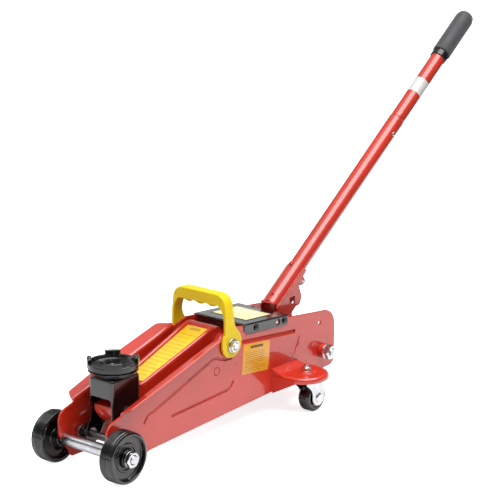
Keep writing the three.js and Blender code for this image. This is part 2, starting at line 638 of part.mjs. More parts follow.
function addSocket() {
  const pivot = alongHandle(SOCKET_PIVOT);
  const roller = alongHandle(ROLLER);
  const outer = 14.8;
  const clamp = 71.5;
  const cheek = [
    [4, 4, 2], [78, 4, 2], [79, -4, 1.5], [58, -7.5, 6], [54, -10, 3], [51.2, -24, 5],
    [45, -29, 4], [40, -31.2, 4], [33, -26.8, 3], [21, -27.4, 3], [roller.y + 4.5, roller.z - 6, 6],
    [pivot.y - 8.5, pivot.z - 7, 8.4], [pivot.y - 8.5, pivot.z + 10, 6], [-1, -8, 3],
  ];
  const window = [[26, -12.8, 1.5], [30.5, -6.5, 1.5], [40.5, -13, 1.5], [33, -21, 1.5]];
  const cheeks = [[outer - 2.5, outer], [-outer, 2.5 - outer]].map(([x0, x1]) =>
    cut(sideways(cheek, x0, x1), sideways(window, x0 - 1, x1 + 1)),
  );
  const web = join(box(-10, 10, 3.8, 7.3, -12.4, 11.2), box(-13, 13, 3.8, 6.8, -12.4, -3));
  const filler = box(-outer + 2, outer - 2, 25, 43, -22.5, -11);
  const tube = ring(11.7, 12.6, 7, 78, 'y');
  const boss = rod(6, -18, -11.9, 'z', [0, clamp, 0]);
  const nub = box(-2, 2, 71, 76, 12.2, 15.5);
  const socket = cut(
    join(tube, ...cheeks, web, filler, boss, nub),
    rod(11.7, 6.5, 90, 'y'),
    crosswise(pivot, SOCKET_PIVOT.radius + 0.4, 60),
    crosswise(roller, 3, 60, 16),
    rod(3.2, -25, 0, 'z', [0, clamp, 0], 16),
  );
  add('handle_socket', socket, 'paint', handle);
  const wheel = [
    [0, -14.6], [2.7, -14.6], [2.7, -11.9], [ROLLER_ARM.radius, -11.9], [ROLLER_ARM.radius, 11.9],
    [2.7, 11.9], [2.7, 14.6], [0, 14.6],
  ];
  add('socket_roller', turned(wheel, 'x', [0, roller.y, roller.z], 16), 'steel', handle);
  const screw = join(rod(3, -20, -11.6, 'z', [0, clamp, 0], 16), hexagon(11, -25, -18.3, 'z', [0, clamp, 0]));
  add('clamp_screw', screw, 'zinc', handle);
}

function addHandleTubes() {
  const joint = 365;
  const button = [0, 338, 0];
  const hole = rod(3.5, 5, 20, 'x', button, 16);
  const lower = cut(ring(9.9, 11.3, 12, joint, 'y'), hole);
  add('handle_lower', lower, 'paint', handle);
  const profile = [
    [8.2, joint - 60], [9.6, joint - 60], [9.6, joint + 0.4], [10.8, joint + 2],
    [10.8, 585], [9.2, 585], [9.2, joint + 4], [8.2, joint],
  ];
  add('handle_upper', cut(turned(profile, 'y'), hole), 'paint', handle);
  const stud = [[0, 6.5], [3.1, 6.5], [3.1, 12], [2, 13.3], [0, 13.6]];
  add('handle_button', turned(stud, 'x', button, 16), 'zinc', handle);
  const grip = [
    [11, 494], [12.4, 494], [12.4, 504.5], [13.8, 505.5], [13.8, 580],
    [11.8, 587], [0, 588.4], [0, 586], [11, 586],
  ];
  add('handle_grip', turned(grip, 'y', [0, 0, 0], 20), 'foam', handle);
}

// ---------------------------------------------------------------- assembly
addChassis();
addFrontAxle();
addFrontWheels();
addCasters();
addCover();
addArmPivot();
addCarryHandle();
addArm();
addLinks();
addBracket();
addRam();
addCylinder();
addPumpBlock();
addReleaseValve();
addRearBolt();
addReturnSprings();
addSocket();
addHandleTubes();

// The origin is the middle of the jack's box, on the floor.
jack.updateMatrixWorld(true);
const bounds = new THREE.Box3().setFromObject(jack, true);
jack.position.y = -(bounds.min.y + bounds.max.y) / 2;

export default jack;
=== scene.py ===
import json
import math

import bmesh
import bpy
from mathutils import Matrix, Vector

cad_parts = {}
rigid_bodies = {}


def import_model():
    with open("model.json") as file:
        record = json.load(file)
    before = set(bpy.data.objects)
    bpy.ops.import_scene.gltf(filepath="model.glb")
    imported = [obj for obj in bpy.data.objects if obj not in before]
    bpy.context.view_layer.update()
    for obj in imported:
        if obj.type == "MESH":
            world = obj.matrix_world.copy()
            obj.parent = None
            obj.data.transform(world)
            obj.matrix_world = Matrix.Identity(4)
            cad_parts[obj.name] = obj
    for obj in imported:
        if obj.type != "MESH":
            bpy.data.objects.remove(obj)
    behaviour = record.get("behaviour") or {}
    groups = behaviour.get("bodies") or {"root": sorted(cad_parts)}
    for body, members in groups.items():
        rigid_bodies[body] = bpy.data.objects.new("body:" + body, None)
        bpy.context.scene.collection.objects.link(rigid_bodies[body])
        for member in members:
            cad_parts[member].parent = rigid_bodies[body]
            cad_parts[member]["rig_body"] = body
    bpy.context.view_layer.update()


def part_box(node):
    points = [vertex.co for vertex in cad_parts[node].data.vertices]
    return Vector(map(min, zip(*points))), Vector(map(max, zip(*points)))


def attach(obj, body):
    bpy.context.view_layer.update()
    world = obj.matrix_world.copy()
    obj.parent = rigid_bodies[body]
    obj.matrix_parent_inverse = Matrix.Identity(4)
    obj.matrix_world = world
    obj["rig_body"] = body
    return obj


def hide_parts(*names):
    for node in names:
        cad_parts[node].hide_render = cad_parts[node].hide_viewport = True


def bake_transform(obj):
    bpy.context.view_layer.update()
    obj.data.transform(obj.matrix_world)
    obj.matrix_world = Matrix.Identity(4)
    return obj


# A two-tonne floor jack. Shapes are drawn in millimetres, with X across, Y back from the front axle and Z up
# from the floor, and each finished piece is moved into the frame's metres.
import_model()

MM = 0.001
AXLE_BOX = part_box("front_axle")
AXLE_Y = (AXLE_BOX[0].y + AXLE_BOX[1].y) / 2
TO_FRAME = Matrix.Translation((0, AXLE_Y, 0)) @ Matrix.Scale(MM, 4)
TURN = 12  # degrees between the points of a rounded corner


def span(node):
    """Lowest and highest corner of a CAD node, in millimetres about the front axle."""
    back = TO_FRAME.inverted()
    return [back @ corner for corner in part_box(node)]


def middle(node):
    low, high = span(node)
    return (low + high) / 2


# ---------------------------------------------------------------- driving dimensions, in millimetres
AXLE = middle("front_axle")
WHEEL_R = span("front_wheel_left")[1].z / 2
PLATE_OUT = 42
PLATE_IN = 39
PIVOT = middle("arm_pivot_shaft")
LINK_PIN = middle("link_stub_left")
NOSE_PIN = middle("arm_nose_pin")
LINK_NOSE = middle("link_nose_pin")
LEVER_PIN = middle("lever_pin")
REAR_BOLT = middle("rear_cross_bolt")
SOCKET_PIN = middle("socket_pin")
VALVE = middle("release_valve")
PLUNGER = middle("pump_plunger")
CASTER = middle("caster_bolt_left")
CASTER_AXLE = middle("caster_axle_left")
PRESS_STEP = 0.15  # the least depth of a pressed shape in a plate
PEAK = (225, 138)
FRONT_SLOPE = 0.2966
REAR_SLOPE = 0.1022
COVER_FRONT = 243
COVER_LENGTH = 91.6
COVER_FALL = 0.07
WING_SEAT = 11.5
SEAT_RISE = 1.2
WING_TOP = 57
RAM_Z = 84
HANDLE = Matrix.Translation((0, 345, 126.9)) @ Matrix.Rotation(math.radians(36.9), 4, "X")


def top_edge(y):
    """Height of a side plate's top edge."""
    slope = -FRONT_SLOPE if y < PEAK[0] else REAR_SLOPE
    return PEAK[1] - slope * (y - PEAK[0])


# ---------------------------------------------------------------- outlines
def rounded(corners, closed=True, turn=TURN):
    """Points of an outline whose corners (a, b, radius) are rounded off."""
    points = []
    last = len(corners) - 1
    for i, corner in enumerate(corners):
        here = Vector(corner[:2])
        radius = corner[2] if len(corner) > 2 else 0
        if radius == 0 or (not closed and i in (0, last)):
            points.append(here)
            continue
        before = (Vector(corners[i - 1][:2]) - here).normalized()
        after = (Vector(corners[(i + 1) % len(corners)][:2]) - here).normalized()
        half = before.angle(after) / 2
        centre = here + (before + after).normalized() * radius / math.sin(half)
        arm = here + before * radius / math.tan(half) - centre
        sweep = math.pi - 2 * half
        if before.x * after.y - before.y * after.x > 0:
            sweep = -sweep
        count = max(2, math.ceil(abs(math.degrees(sweep)) / turn))
        points += [centre + Matrix.Rotation(sweep * k / count, 2) @ arm for k in range(count + 1)]
    return points


def inset(points, distance):
    """An anticlockwise outline moved inwards."""
    moved = []
    for i, here in enumerate(points):
        ahead = (here - points[i - 1]).normalized()
        onward = (points[(i + 1) % len(points)] - here).normalized()
        one, two = Vector((-ahead.y, ahead.x)), Vector((-onward.y, onward.x))
        moved.append(here + (one + two) * distance / max(1 + one.dot(two), 0.4))
    return moved


def area(points):
    return sum(p.x * q.y - q.x * p.y for p, q in zip(points, points[1:] + points[:1])) / 2


PLACES = {
    "x": lambda a, b, t: Vector((t, a, b)),
    "y": lambda a, b, t: Vector((a, t, b)),
    "z": lambda a, b, t: Vector((a, b, t)),
}


# ---------------------------------------------------------------- mesh helpers
def to_object(mesh_data):
    bmesh.ops.recalc_face_normals(mesh_data, faces=mesh_data.faces)
    if mesh_data.calc_volume(signed=True) < 0:
        bmesh.ops.reverse_faces(mesh_data, faces=mesh_data.faces)
    mesh = bpy.data.meshes.new("piece")
    mesh_data.to_mesh(mesh)
    mesh_data.free()
    obj = bpy.data.objects.new("piece", mesh)
    bpy.context.scene.collection.objects.link(obj)
    return obj


def skin(rings, looped=False, capped=True):
    """A closed body through rings of points; a ring of one point is a pole."""
    data = bmesh.new()
    rows = [[data.verts.new(point) for point in ring] for ring in rings]
    pairs = list(zip(rows, rows[1:])) + ([(rows[-1], rows[0])] if looped else [])
    for one, two in pairs:
        count = max(len(one), len(two))
        for i in range(count):
            j = (i + 1) % count
            corners = [one[i % len(one)], one[j % len(one)], two[j % len(two)], two[i % len(two)]]
            unique = list(dict.fromkeys(corners))
            if len(unique) > 2:
                data.faces.new(unique)
    if capped and not looped:
        for row in (rows[0], rows[-1]):
            if len(row) > 2:
                data.faces.new(row)
    return to_object(data)


def slab(corners, low, high, axis, edges=(0.6, 0.6), steps=3):
    """An outline pushed from low to high along an axis, with its two rims rounded by these radii."""
    points = rounded(corners)
    if area(points) < 0:
        points.reverse()
    place = PLACES[axis]
    rings = []
    for level, side, radius in ((low, 1, edges[0]), (high, -1, edges[1])):
        rim = []
        for k in range(steps + 1 if radius else 1):
            angle = math.pi / 2 * k / steps
            inwards = radius * (1 - math.sin(angle))
            along = level + side * radius * (1 - math.cos(angle))
            rim.append([place(p.x, p.y, along) for p in inset(points, inwards)])
        rings += rim if side > 0 else rim[::-1]
    return skin(rings)


def doorway(half, low, high, radius, centre=0):
    """An outline with square corners below and rounded ones above."""
    left, right = centre - half, centre + half
    return [(left, low), (right, low), (right, high, radius), (left, high, radius)]


def lozenge(x0, x1, y0, y1, radius):
    """A rectangle with all four corners rounded."""
    return [(x0, y0, radius), (x1, y0, radius), (x1, y1, radius), (x0, y1, radius)]


def box(x0, x1, y0, y1, z0, z1, edge=0.0):
    return slab(lozenge(x0, x1, y0, y1, edge * 1.3), z0, z1, "z", (edge, edge))


def lathe(corners, axis, at, sides=64, turn=20):
    """A body of revolution from corners (radius, distance along the axis, rounding)."""
    on_axis = corners[0][0] == 0
    profile = rounded(corners, closed=not on_axis, turn=turn)
    base = Vector(at)
    base[("x", "y", "z").index(axis)] = 0
    rings = []
    for radius, along in profile:
        count = 1 if radius < 1e-6 else sides
        ring = []
        for k in range(count):
            angle = 2 * math.pi * (k + 0.5) / sides
            ring.append(PLACES[axis](radius * math.cos(angle), radius * math.sin(angle), along) + base)
        rings.append(ring)
    return skin(rings, looped=not on_axis)


def rod(radius, low, high, axis, at, edge=0.4, sides=48):
    return lathe([(0, low), (radius, low, edge), (radius, high, edge), (0, high)], axis, at, sides)


def bore(radius, at, sides=48):
    """A drill straight across the jack."""
    return rod(radius, -70, 70, "x", at, 0, sides)


def both_ways(side):
    """A lathe profile from the middle to one end, with its mirror image on the other side of the middle."""
    return [(radius, -along, *rest) for radius, along, *rest in side][::-1] + side


def tube(path, radius, sides=16):
    """A round bar with round ends, along a path of points."""
    path = [Vector(p) for p in path]
    ends = []
    for tip, inner in ((path[0], path[1]), (path[-1], path[-2])):
        out = (tip - inner).normalized()
        angles = [math.pi / 2 * k / 4 for k in range(1, 5)]
        ends.append([(tip + out * radius * math.sin(a), radius * math.cos(a)) for a in angles])
    stations = ends[0][::-1] + [(p, radius) for p in path] + ends[1]
    rings = []
    side = None
    for i, (point, size) in enumerate(stations):
        ahead = stations[min(i + 1, len(stations) - 1)][0] - stations[max(i - 1, 0)][0]
        ahead.normalize()
        if side is None:
            side = ahead.orthogonal().normalized()
        side = (side - ahead * side.dot(ahead)).normalized()
        other = ahead.cross(side)
        if size < 1e-4:
            rings.append([point])
            continue
        angles = [2 * math.pi * k / sides for k in range(sides)]
        rings.append([point + (side * math.cos(a) + other * math.sin(a)) * size for a in angles])
    return skin(rings)


def combine(base, tool, operation):
    modifier = base.modifiers.new("combine", "BOOLEAN")
    modifier.operation = operation
    modifier.object = tool
    modifier.solver = "MANIFOLD"
    bpy.context.view_layer.update()
    result = bpy.data.meshes.new_from_object(base.evaluated_get(bpy.context.evaluated_depsgraph_get()))
    base.modifiers.clear()
    base.data = result
    bpy.data.objects.remove(tool)
    return base


def cut(base, *tools):
    for tool in tools:
        combine(base, tool, "DIFFERENCE")
    return base


def join(base, *tools):
    for tool in tools:
        combine(base, tool, "UNION")
    return base


def common(base, *tools):
    for tool in tools:
        combine(base, tool, "INTERSECT")
    return base


def mirrored(obj):
    twin = obj.copy()
    twin.data = obj.data.copy()
    bpy.context.scene.collection.objects.link(twin)
    twin.data.transform(Matrix.Scale(-1, 4, (1, 0, 0)))
    twin.data.flip_normals()
    return twin


def moved(obj, matrix):
    obj.data.transform(matrix)
    return obj


def piece(obj, name, body, finish, nodes=(), bevel=0.0, sharp=38):
    """Names a finished body, gives it its material and hangs it on its CAD body."""
    obj.name = name
    obj.data.name = name
    obj.data.transform(TO_FRAME)
    obj.data.materials.clear()
    obj.data.materials.append(finish["material"])
    obj.data.shade_smooth()
    obj.data.set_sharp_from_angle(angle=math.radians(sharp))
    if bevel:
        soften = obj.modifiers.new("soften", "BEVEL")
        soften.width = bevel * MM
        soften.segments = 3
        soften.limit_method = "ANGLE"
        soften.angle_limit = math.radians(sharp)
        soften.harden_normals = False
    weigh = obj.modifiers.new("weigh", "WEIGHTED_NORMAL")
    weigh.keep_sharp = True
    weigh.weight = 80
    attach(obj, body)
    if nodes:
        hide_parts(*nodes)
    return obj


def pair(obj, name, body, finish, node=None, bevel=0.0, sharp=38):
    """A piece on the jack's left and its mirror image on the right. A body named with {} has one per side."""
    for side, twin in (("left", obj), ("right", mirrored(obj))):
        nodes = [f"{n}_{side}" for n in ([node] if isinstance(node, str) else node or [])]
        piece(twin, f"{name}_{side}", body.format(side), finish, nodes, bevel, sharp)


# ---------------------------------------------------------------- materials
class Look:
    """A material under construction; its nodes are added by name and joined through their inputs."""

    def __init__(self, name):
        self.material = bpy.data.materials.new(name)
        self.material.use_nodes = True
        self.nodes = self.material.node_tree.nodes
        self.links = self.material.node_tree.links
        self.shader = self.nodes["Principled BSDF"]
        self.place = self.add("TexCoord").outputs["Object"]

    def add(self, kind, inputs=None, **settings):
        node = self.nodes.new("ShaderNode" + kind)
        for key, value in settings.items():
            setattr(node, key, value)
        for key, value in (inputs or {}).items():
            self.feed(node.inputs[key], value)
        return node

    def feed(self, socket, value):
        if isinstance(value, bpy.types.NodeSocket):
            self.links.new(value, socket)
        else:
            socket.default_value = value

    def finish(self, slot):
        return {"material": self.material, "slot": slot}

    def set(self, **inputs):
        for key, value in inputs.items():
            self.feed(self.shader.inputs[key.replace("_", " ")], value)

    def noise(self, scale, detail=3.0, rough=0.55, stretch=None):
        place = self.place
        if stretch:
            place = self.add("VectorMath", {0: place, 1: stretch}, operation="MULTIPLY").outputs[0]
        made = self.add("TexNoise", {"Vector": place, "Scale": scale, "Detail": detail, "Roughness": rough})
        return made.outputs["Fac"]

    def ramp(self, value, low, high, start=0.0, end=1.0):
        ends = {"From Min": low, "From Max": high, "To Min": start, "To Max": end}
        return self.add("MapRange", {"Value": value, **ends}).outputs["Result"]

    def maths(self, operation, one, two=0.0):
        return self.add("Math", {0: one, 1: two}, operation=operation).outputs[0]

    def mix(self, share, one, two):
        return self.add("MixRGB", {"Fac": share, "Color1": one, "Color2": two}).outputs["Color"]

    def bump(self, height, strength, distance=MM, under=None):
        made = self.add("Bump", {"Height": height, "Strength": strength, "Distance": distance})
        if under:
            self.feed(made.inputs["Normal"], under)
        return made.outputs["Normal"]

    def worn_edges(self, radius=0.6):
        """About 1 along outside edges and 0 on flat faces."""
        soft = self.add("Bevel", {"Radius": radius * MM}, samples=4).outputs[0]
        flat = self.add("NewGeometry").outputs["Normal"]
        alike = self.add("VectorMath", {0: soft, 1: flat}, operation="DOT_PRODUCT").outputs["Value"]
        return self.ramp(alike, 0.98, 0.8)


def colour(r, g, b):
    """A colour given as on a screen, 0 to 255, for a node socket."""
    channels = [c / 255 for c in (r, g, b)]
    return [*(c / 12.92 if c < 0.04045 else ((c + 0.055) / 1.055) ** 2.4 for c in channels), 1]


def dimmed(tone, share):
    return [channel * share for channel in tone[:3]] + [1]


def enamel(name, slot, main, worn, coat_ior=1.6, gloss=0.06, base_rough=0.45, specular=0.5):
    """Sprayed and baked paint: a clear top layer with orange peel over a slightly uneven colour."""
    look = Look(name)
    main, worn = colour(*main), colour(*worn)
    tone = look.noise(9, 4)
    darker = dimmed(main, 0.82)
    body = look.mix(look.ramp(tone, 0.35, 0.7), darker, main)
    flecks = look.ramp(look.noise(900, 2), 0.62, 0.8, 0, 0.35)
    edge = look.maths("MULTIPLY", look.worn_edges(), look.ramp(look.noise(160, 4), 0.45, 0.62))
    body = look.mix(look.maths("MULTIPLY", edge, 0.55), body, worn)
    body = look.mix(flecks, body, darker)
    peel = look.bump(look.noise(420, 2), 0.05, 0.4 * MM)
    grain = look.bump(look.noise(2600, 1), 0.03, 0.2 * MM, peel)
    rough = look.ramp(look.noise(35, 5), 0.3, 0.75, gloss, gloss + 0.07)
    look.set(Base_Color=body, Roughness=base_rough, Specular_IOR_Level=specular, Normal=grain)
    look.set(Coat_Weight=1.0, Coat_IOR=coat_ior, Coat_Roughness=rough, Coat_Normal=peel)
    return look.finish(slot)


def plated(name, slot, main, rough=0.2, brushed=None):
    """Bright zinc or machined steel: metal with fine drawn lines and faint clouding."""
    look, main = Look(name), colour(*main)
    cloud = look.noise(60, 5)
    tint = look.mix(look.ramp(cloud, 0.35, 0.7), dimmed(main, 0.72), main)
    lines = look.noise(500, 3, stretch=brushed or (1, 1, 1))
    spots = look.ramp(look.noise(240, 3), 0.58, 0.72, 0, 0.5)
    tint = look.mix(spots, tint, dimmed(main, 0.6))
    grade = look.ramp(lines, 0.3, 0.7, rough * 0.75, rough * 1.6)
    look.set(Base_Color=tint, Metallic=1.0, Roughness=grade, Normal=look.bump(lines, 0.12, 0.15 * MM))
    return look.finish(slot)


def moulded(name, slot, main, rough=0.38, grain=0.12, coat=0.0, specular=0.5):
    """Moulded plastic: even colour with a fine matt texture and faint flow marks."""
    look, main = Look(name), colour(*main)
    flow = look.noise(14, 3, stretch=(1, 1, 3))
    shade = look.mix(look.ramp(flow, 0.3, 0.75), dimmed(main, 0.86), main)
    pores = look.noise(1500, 2)
    shade = look.mix(look.ramp(pores, 0.6, 0.8, 0, 0.2), shade, dimmed(main, 0.7))
    grade = look.ramp(look.noise(80, 4), 0.3, 0.7, rough * 0.8, rough * 1.3)
    look.set(Base_Color=shade, Roughness=grade, Normal=look.bump(pores, grain, 0.2 * MM))
    look.set(Coat_Weight=coat, Coat_Roughness=0.12, Specular_IOR_Level=specular)
    return look.finish(slot)


def foam(name, slot, main):
    """Dipped foam sleeve: matt, softly pebbled, with open pores."""
    look, main = Look(name), colour(*main)
    pebble = look.add("TexVoronoi", {"Vector": look.place, "Scale": 900.0}).outputs["Distance"]
    cloud = look.noise(45, 5)
    shade = look.mix(look.ramp(cloud, 0.3, 0.7), dimmed(main, 0.7), main)
    shade = look.mix(look.ramp(pebble, 0.5, 0.9, 0, 0.6), shade, dimmed(main, 0.45))
    rise = look.bump(cloud, 0.35, 0.8 * MM, look.bump(pebble, 0.5, 0.35 * MM))
    look.set(Base_Color=shade, Roughness=look.ramp(cloud, 0.3, 0.7, 0.45, 0.7), Normal=rise)
    look.set(Sheen_Weight=0.25, Sheen_Roughness=0.5)
    return look.finish(slot)


def sticker(name, slot, paper, ink, rows, margin=0.08, header=0.16, border=0.0, body_rows=True):
    """A printed label with a blank heading bar and ruled lines of uneven length. It says nothing."""
    look = Look(name)
    paper, ink = colour(*paper), colour(*ink)
    generated = look.nodes["Texture Coordinate"].outputs["Generated"]
    parts = look.add("SeparateXYZ", {0: generated})
    across, along = parts.outputs[0], parts.outputs[1]
    fade = look.ramp(look.noise(25, 4), 0.3, 0.7)
    shade = look.mix(fade, dimmed(paper, 0.88), paper)

    def between(value, low, high):
        above = look.maths("GREATER_THAN", value, low)
        return look.maths("MULTIPLY", above, look.maths("LESS_THAN", value, high))

    mask = 0.0
    if body_rows:
        row = look.maths("MULTIPLY", along, rows)
        number = look.maths("FLOOR", row)
        stripe = between(look.maths("FRACT", row), 0.34, 0.62)
        dice = look.add("TexWhiteNoise", {"W": number}, noise_dimensions="1D").outputs["Value"]
        reach = look.ramp(dice, 0, 1, 0.62, 1 - margin)
        line = look.maths("MULTIPLY", stripe, between(across, margin, 1 - margin))
        line = look.maths("MULTIPLY", line, look.maths("LESS_THAN", across, reach))
        line = look.maths("MULTIPLY", line, between(along, margin, 1 - header - margin))
        words = look.add("TexNoise", {"Vector": generated, "Scale": 46.0, "Detail": 1.0}).outputs["Fac"]
        mask = look.maths("MULTIPLY", line, look.maths("GREATER_THAN", words, 0.44))
        bar = between(along, 1 - header, 1 - header * 0.45)
        bar = look.maths("MULTIPLY", bar, between(across, 0.26, 0.74))
        mask = look.maths("MAXIMUM", mask, bar)
    shade = look.mix(look.maths("MULTIPLY", mask, 0.85), shade, ink)
    if border:
        low, high = border, 1 - border
        inside = look.maths("MULTIPLY", between(across, low, high), between(along, low, high))
        shade = look.mix(inside, colour(34, 34, 36), shade)
    wrinkle = look.bump(look.noise(60, 3), 0.15, 0.4 * MM)
    look.set(Base_Color=shade, Roughness=look.ramp(fade, 0, 1, 0.26, 0.4), Normal=wrinkle)
    look.set(Coat_Weight=0.4, Coat_Roughness=0.2)
    return look.finish(slot)


def make_finishes():
    red = ((198, 39, 14), (240, 158, 136))
    finishes = {
        "paint": enamel("paint_red", "paint_red", *red, 1.62, 0.06, 0.45, 0.35),
        "cast": enamel("cast_red", "cast_red", (150, 8, 14), (150, 70, 66), 1.5, 0.22, 0.6),
        "zinc": plated("zinc", "zinc", (232, 234, 238), 0.17),
        "zinc_bar": plated("zinc_drawn", "zinc", (220, 222, 226), 0.2, (0.04, 1, 1)),
        "steel": plated("steel", "bare_steel", (150, 150, 150), 0.32, (1, 0.05, 1)),
        "yellow": moulded("yellow_plastic", "yellow_plastic", (238, 205, 16), 0.4, 0.08, 0.1, 0.3),
        "wheel": moulded("black_wheel", "black_wheel", (9, 8, 9), 0.12, 0.05, 0.6, 0.5),
        # matt near-black for the sheets inside the yoke's legs: painted shade
        "shade_liner": moulded("painted_shade_liner", "black_wheel", (5, 5, 6), 0.8, 0.05, 0.0, 0.05),
        "foam": foam("foam_grip", "grey_foam", (58, 56, 60)),
        "collar": moulded("grip_collar", "grey_foam", (10, 10, 11), 0.2, 0.05, 0.3, 0.5),
    }
    for key, name, main, worn, *coat in (
        ("black", "coat_black", (9, 9, 10), (90, 88, 86), 1.4, 0.09, 0.4, 0.05),
        ("cover", "coat_cover", (8, 7, 9), (150, 146, 146), 1.85, 0.09, 0.4, 0.05),
        ("bracket", "coat_bracket", (9, 9, 10), (96, 94, 92), 1.72, 0.1, 0.4, 0.2),
        ("gloss", "coat_gloss_black", (8, 8, 9), (110, 108, 106), 1.6, 0.05, 0.3, 0.2),
    ):
        finishes[key] = enamel(name, "black_coat", main, worn, *coat)
    for name, paper, ink, rows, settings in (
        ("label_arm", (240, 196, 44), (190, 142, 36), 16.0, {"header": 0.07}),
        ("label_side", (226, 160, 16), (56, 24, 6), 15.0, {}),
        ("label_cover", (246, 234, 176), (206, 186, 120), 8.0, {"header": 0.14, "border": 0.035}),
        ("label_plain", (200, 200, 198), (150, 150, 150), 6.0, {"body_rows": False}),
    ):
        finishes[name] = sticker(name, "yellow_plastic", paper, ink, rows, **settings)
    return finishes


LOOK = make_finishes()


# ---------------------------------------------------------------- fasteners
def threaded(radius, low, high, pitch=1.25, depth=0.45):
    """Profile corners of a threaded end, from its root outwards to a chamfered tip."""
    corners = [(radius - depth, low)]
    turns = max(1, int((high - low - 1.2) / pitch))
    for k in range(turns):
        start = low + k * pitch
        corners += [(radius, start + pitch * 0.5, 0.1), (radius - depth, start + pitch, 0.1)]
    corners += [(radius - depth - 0.6, high, 0.3), (0, high)]
    return corners


def hexagon(across, low, high, axis, at, chamfer=1.1):
    """A hexagon head whose corners are turned off at its outer face, away from the jack's middle."""
    radius = across / math.sqrt(3)
    tip = high if abs(high) > abs(low) or axis == "z" else low
    base = low + high - tip
    sense = 1 if tip > base else -1
    corners = [(radius * math.cos(math.pi / 3 * k), radius * math.sin(math.pi / 3 * k)) for k in range(6)]
    place = {"x": (at[1], at[2]), "y": (at[0], at[2]), "z": (at[0], at[1])}[axis]
    prism = slab([(a + place[0], b + place[1]) for a, b in corners], low, high, axis, (0, 0))
    turned = [(0, base), (radius * 1.1, base), (radius * 1.1, tip - sense * chamfer * 1.4),
              (across / 2 * 0.93, tip, 0.3), (0, tip)]
    if sense < 0:
        turned = turned[::-1]
    return common(prism, lathe(turned, axis, at, 72))


def washer(inner, outer, low, high, axis, at, edge=0.35):
    return lathe([(inner, low), (outer, low, edge), (outer, high, edge), (inner, high)], axis, at)


# ---------------------------------------------------------------- chassis
def flange():
    """The top edge of a plate bent outwards: a lip that widens, runs along the slope and dies out."""
    bend, sheet = 2.0, PLATE_OUT - PLATE_IN - 0.06
    turn = math.radians(70)
    reach = rounded([(15.5, 44.5), (20, 54.2, 4), (110, 58.2, 60), (184, 57, 9), (198, 43.6)], closed=False)
    centre = PLATE_OUT - 0.03 + bend

    def width(y):
        for one, two in zip(reach, reach[1:]):
            if y <= two.x:
                share = (y - one.x) / (two.x - one.x)
                return one.y + (two.y - one.y) * share
        return reach[-1].y

    rings = []
    count = 66
    for k in range(count + 1):
        y = reach[0].x + (reach[-1].x - reach[0].x) * k / count
        z = top_edge(y)
        length = max(0.2, (width(y) - centre + bend * math.cos(turn)) / math.sin(turn) - 1.4)
        section = [Vector((centre - bend, -5))]
        for j in range(6):
            angle = turn * j / 5
            section.append(Vector((centre - bend * math.cos(angle), bend * math.sin(angle))))
        run = Vector((math.sin(turn), math.cos(turn))) * length
        tip_low = section[-1] + run
        outer = bend + sheet
        tip_high = Vector((centre - outer * math.cos(turn), outer * math.sin(turn))) + run
        hub = (tip_low + tip_high) / 2
        arm = tip_low - hub
        section += [hub + Matrix.Rotation(math.pi * j / 6, 2) @ arm for j in range(7)]
        for j in range(5, -1, -1):
            angle = turn * j / 5
            section.append(Vector((centre - outer * math.cos(angle), outer * math.sin(angle))))
        section.append(Vector((centre - outer, -5)))
        rings.append([Vector((p.x, y, z + p.y)) for p in section])
    return skin(rings)


def pressed_line(corners, radius=2.1, depth=2.0):
    """A tool that presses a rounded groove into the plate's outer face along corners (y, z, rounding)."""
    x = PLATE_OUT + radius - depth
    return tube([(x, p.x, p.y) for p in rounded(corners, closed=False)], radius, 16)


def pressed_band(start, end, width, depth):
    """A tool that presses a band which gets deeper towards its upper edge, so that it faces upwards."""
    start, end = Vector(start), Vector(end)
    along = (end - start).normalized()
    up = Vector((-along.y, along.x))
    half = width / 2
    low, high = PLATE_OUT - depth, PLATE_OUT + 0.5
    profile = [(-half, PLATE_OUT - PRESS_STEP), (half - 0.6, low), (half, high), (-half, high)]
    return skin([[Vector((x, *(point + up * a))) for a, x in profile] for point in (start, end)])


def pressed_panel():
    """A tool that presses a panel above the wing which gets deeper downwards, so that it faces downwards."""
    corners = [(297, 88.1), (343.3, 76), (347, 68.3), (356.4, 62.9), (297, 62.9)]
    (y0, z0), (y1, z1) = corners[:2]
    inner = []
    for y, z in corners:
        below = z0 + (z1 - z0) * (y - y0) / (y1 - y0) - z
        inner.append(Vector((PLATE_OUT - PRESS_STEP - 0.078 * below, y, z)))
    return skin([inner, [Vector((PLATE_OUT + 1, y, z)) for y, z in corners]])


def side_plate():
    rear = span("side_plate_left")[1].y
    corners = [
        (10, 7, 4), (36, 7, 10), (62, 18.5, 20), (300, 31), (rear, 37.5, 12), (rear, top_edge(rear), 24),
        (PEAK[0], PEAK[1], 8), (-11, top_edge(-11), 18), (-11, 40, 6),
    ]
    plate = slab(corners, PLATE_IN, PLATE_OUT, "x", (0.7, 0.7), 2)
    ridge = tube([(PLATE_OUT - 0.7, 349, 73), (PLATE_OUT - 0.7, 361, 95)], 1.6, 12)
    join(plate, flange(), ridge)
    upper = [(54.3, 56.2), (61, 65.5, 12), (72, 66.5, 8), (185, 106.5, 10), (207, 99.3, 8), (219, 99.1)]
    cut(
        plate,
        pressed_line(upper),
        pressed_line([(105.2, 51.7), (216, 57.8, 8), (222, 66)]),
        pressed_band((230, 115.4), (351, 103.8), 6.2, 2.2),
        pressed_panel(),
        pressed_line([(355.9, 81.5), (359.6, 86.5)], 0.9, 1.5),
        bore(6.3, AXLE),
        bore(7.3, PIVOT),
        bore(5.7, LINK_PIN, 40),
        bore(6.3, REAR_BOLT),
        bore(3, (0, 405, 103), 32),
        rod(0.9, 40.8, 60, "x", (0, 227.5, 88.5), 0, 16),
    )
    return plate


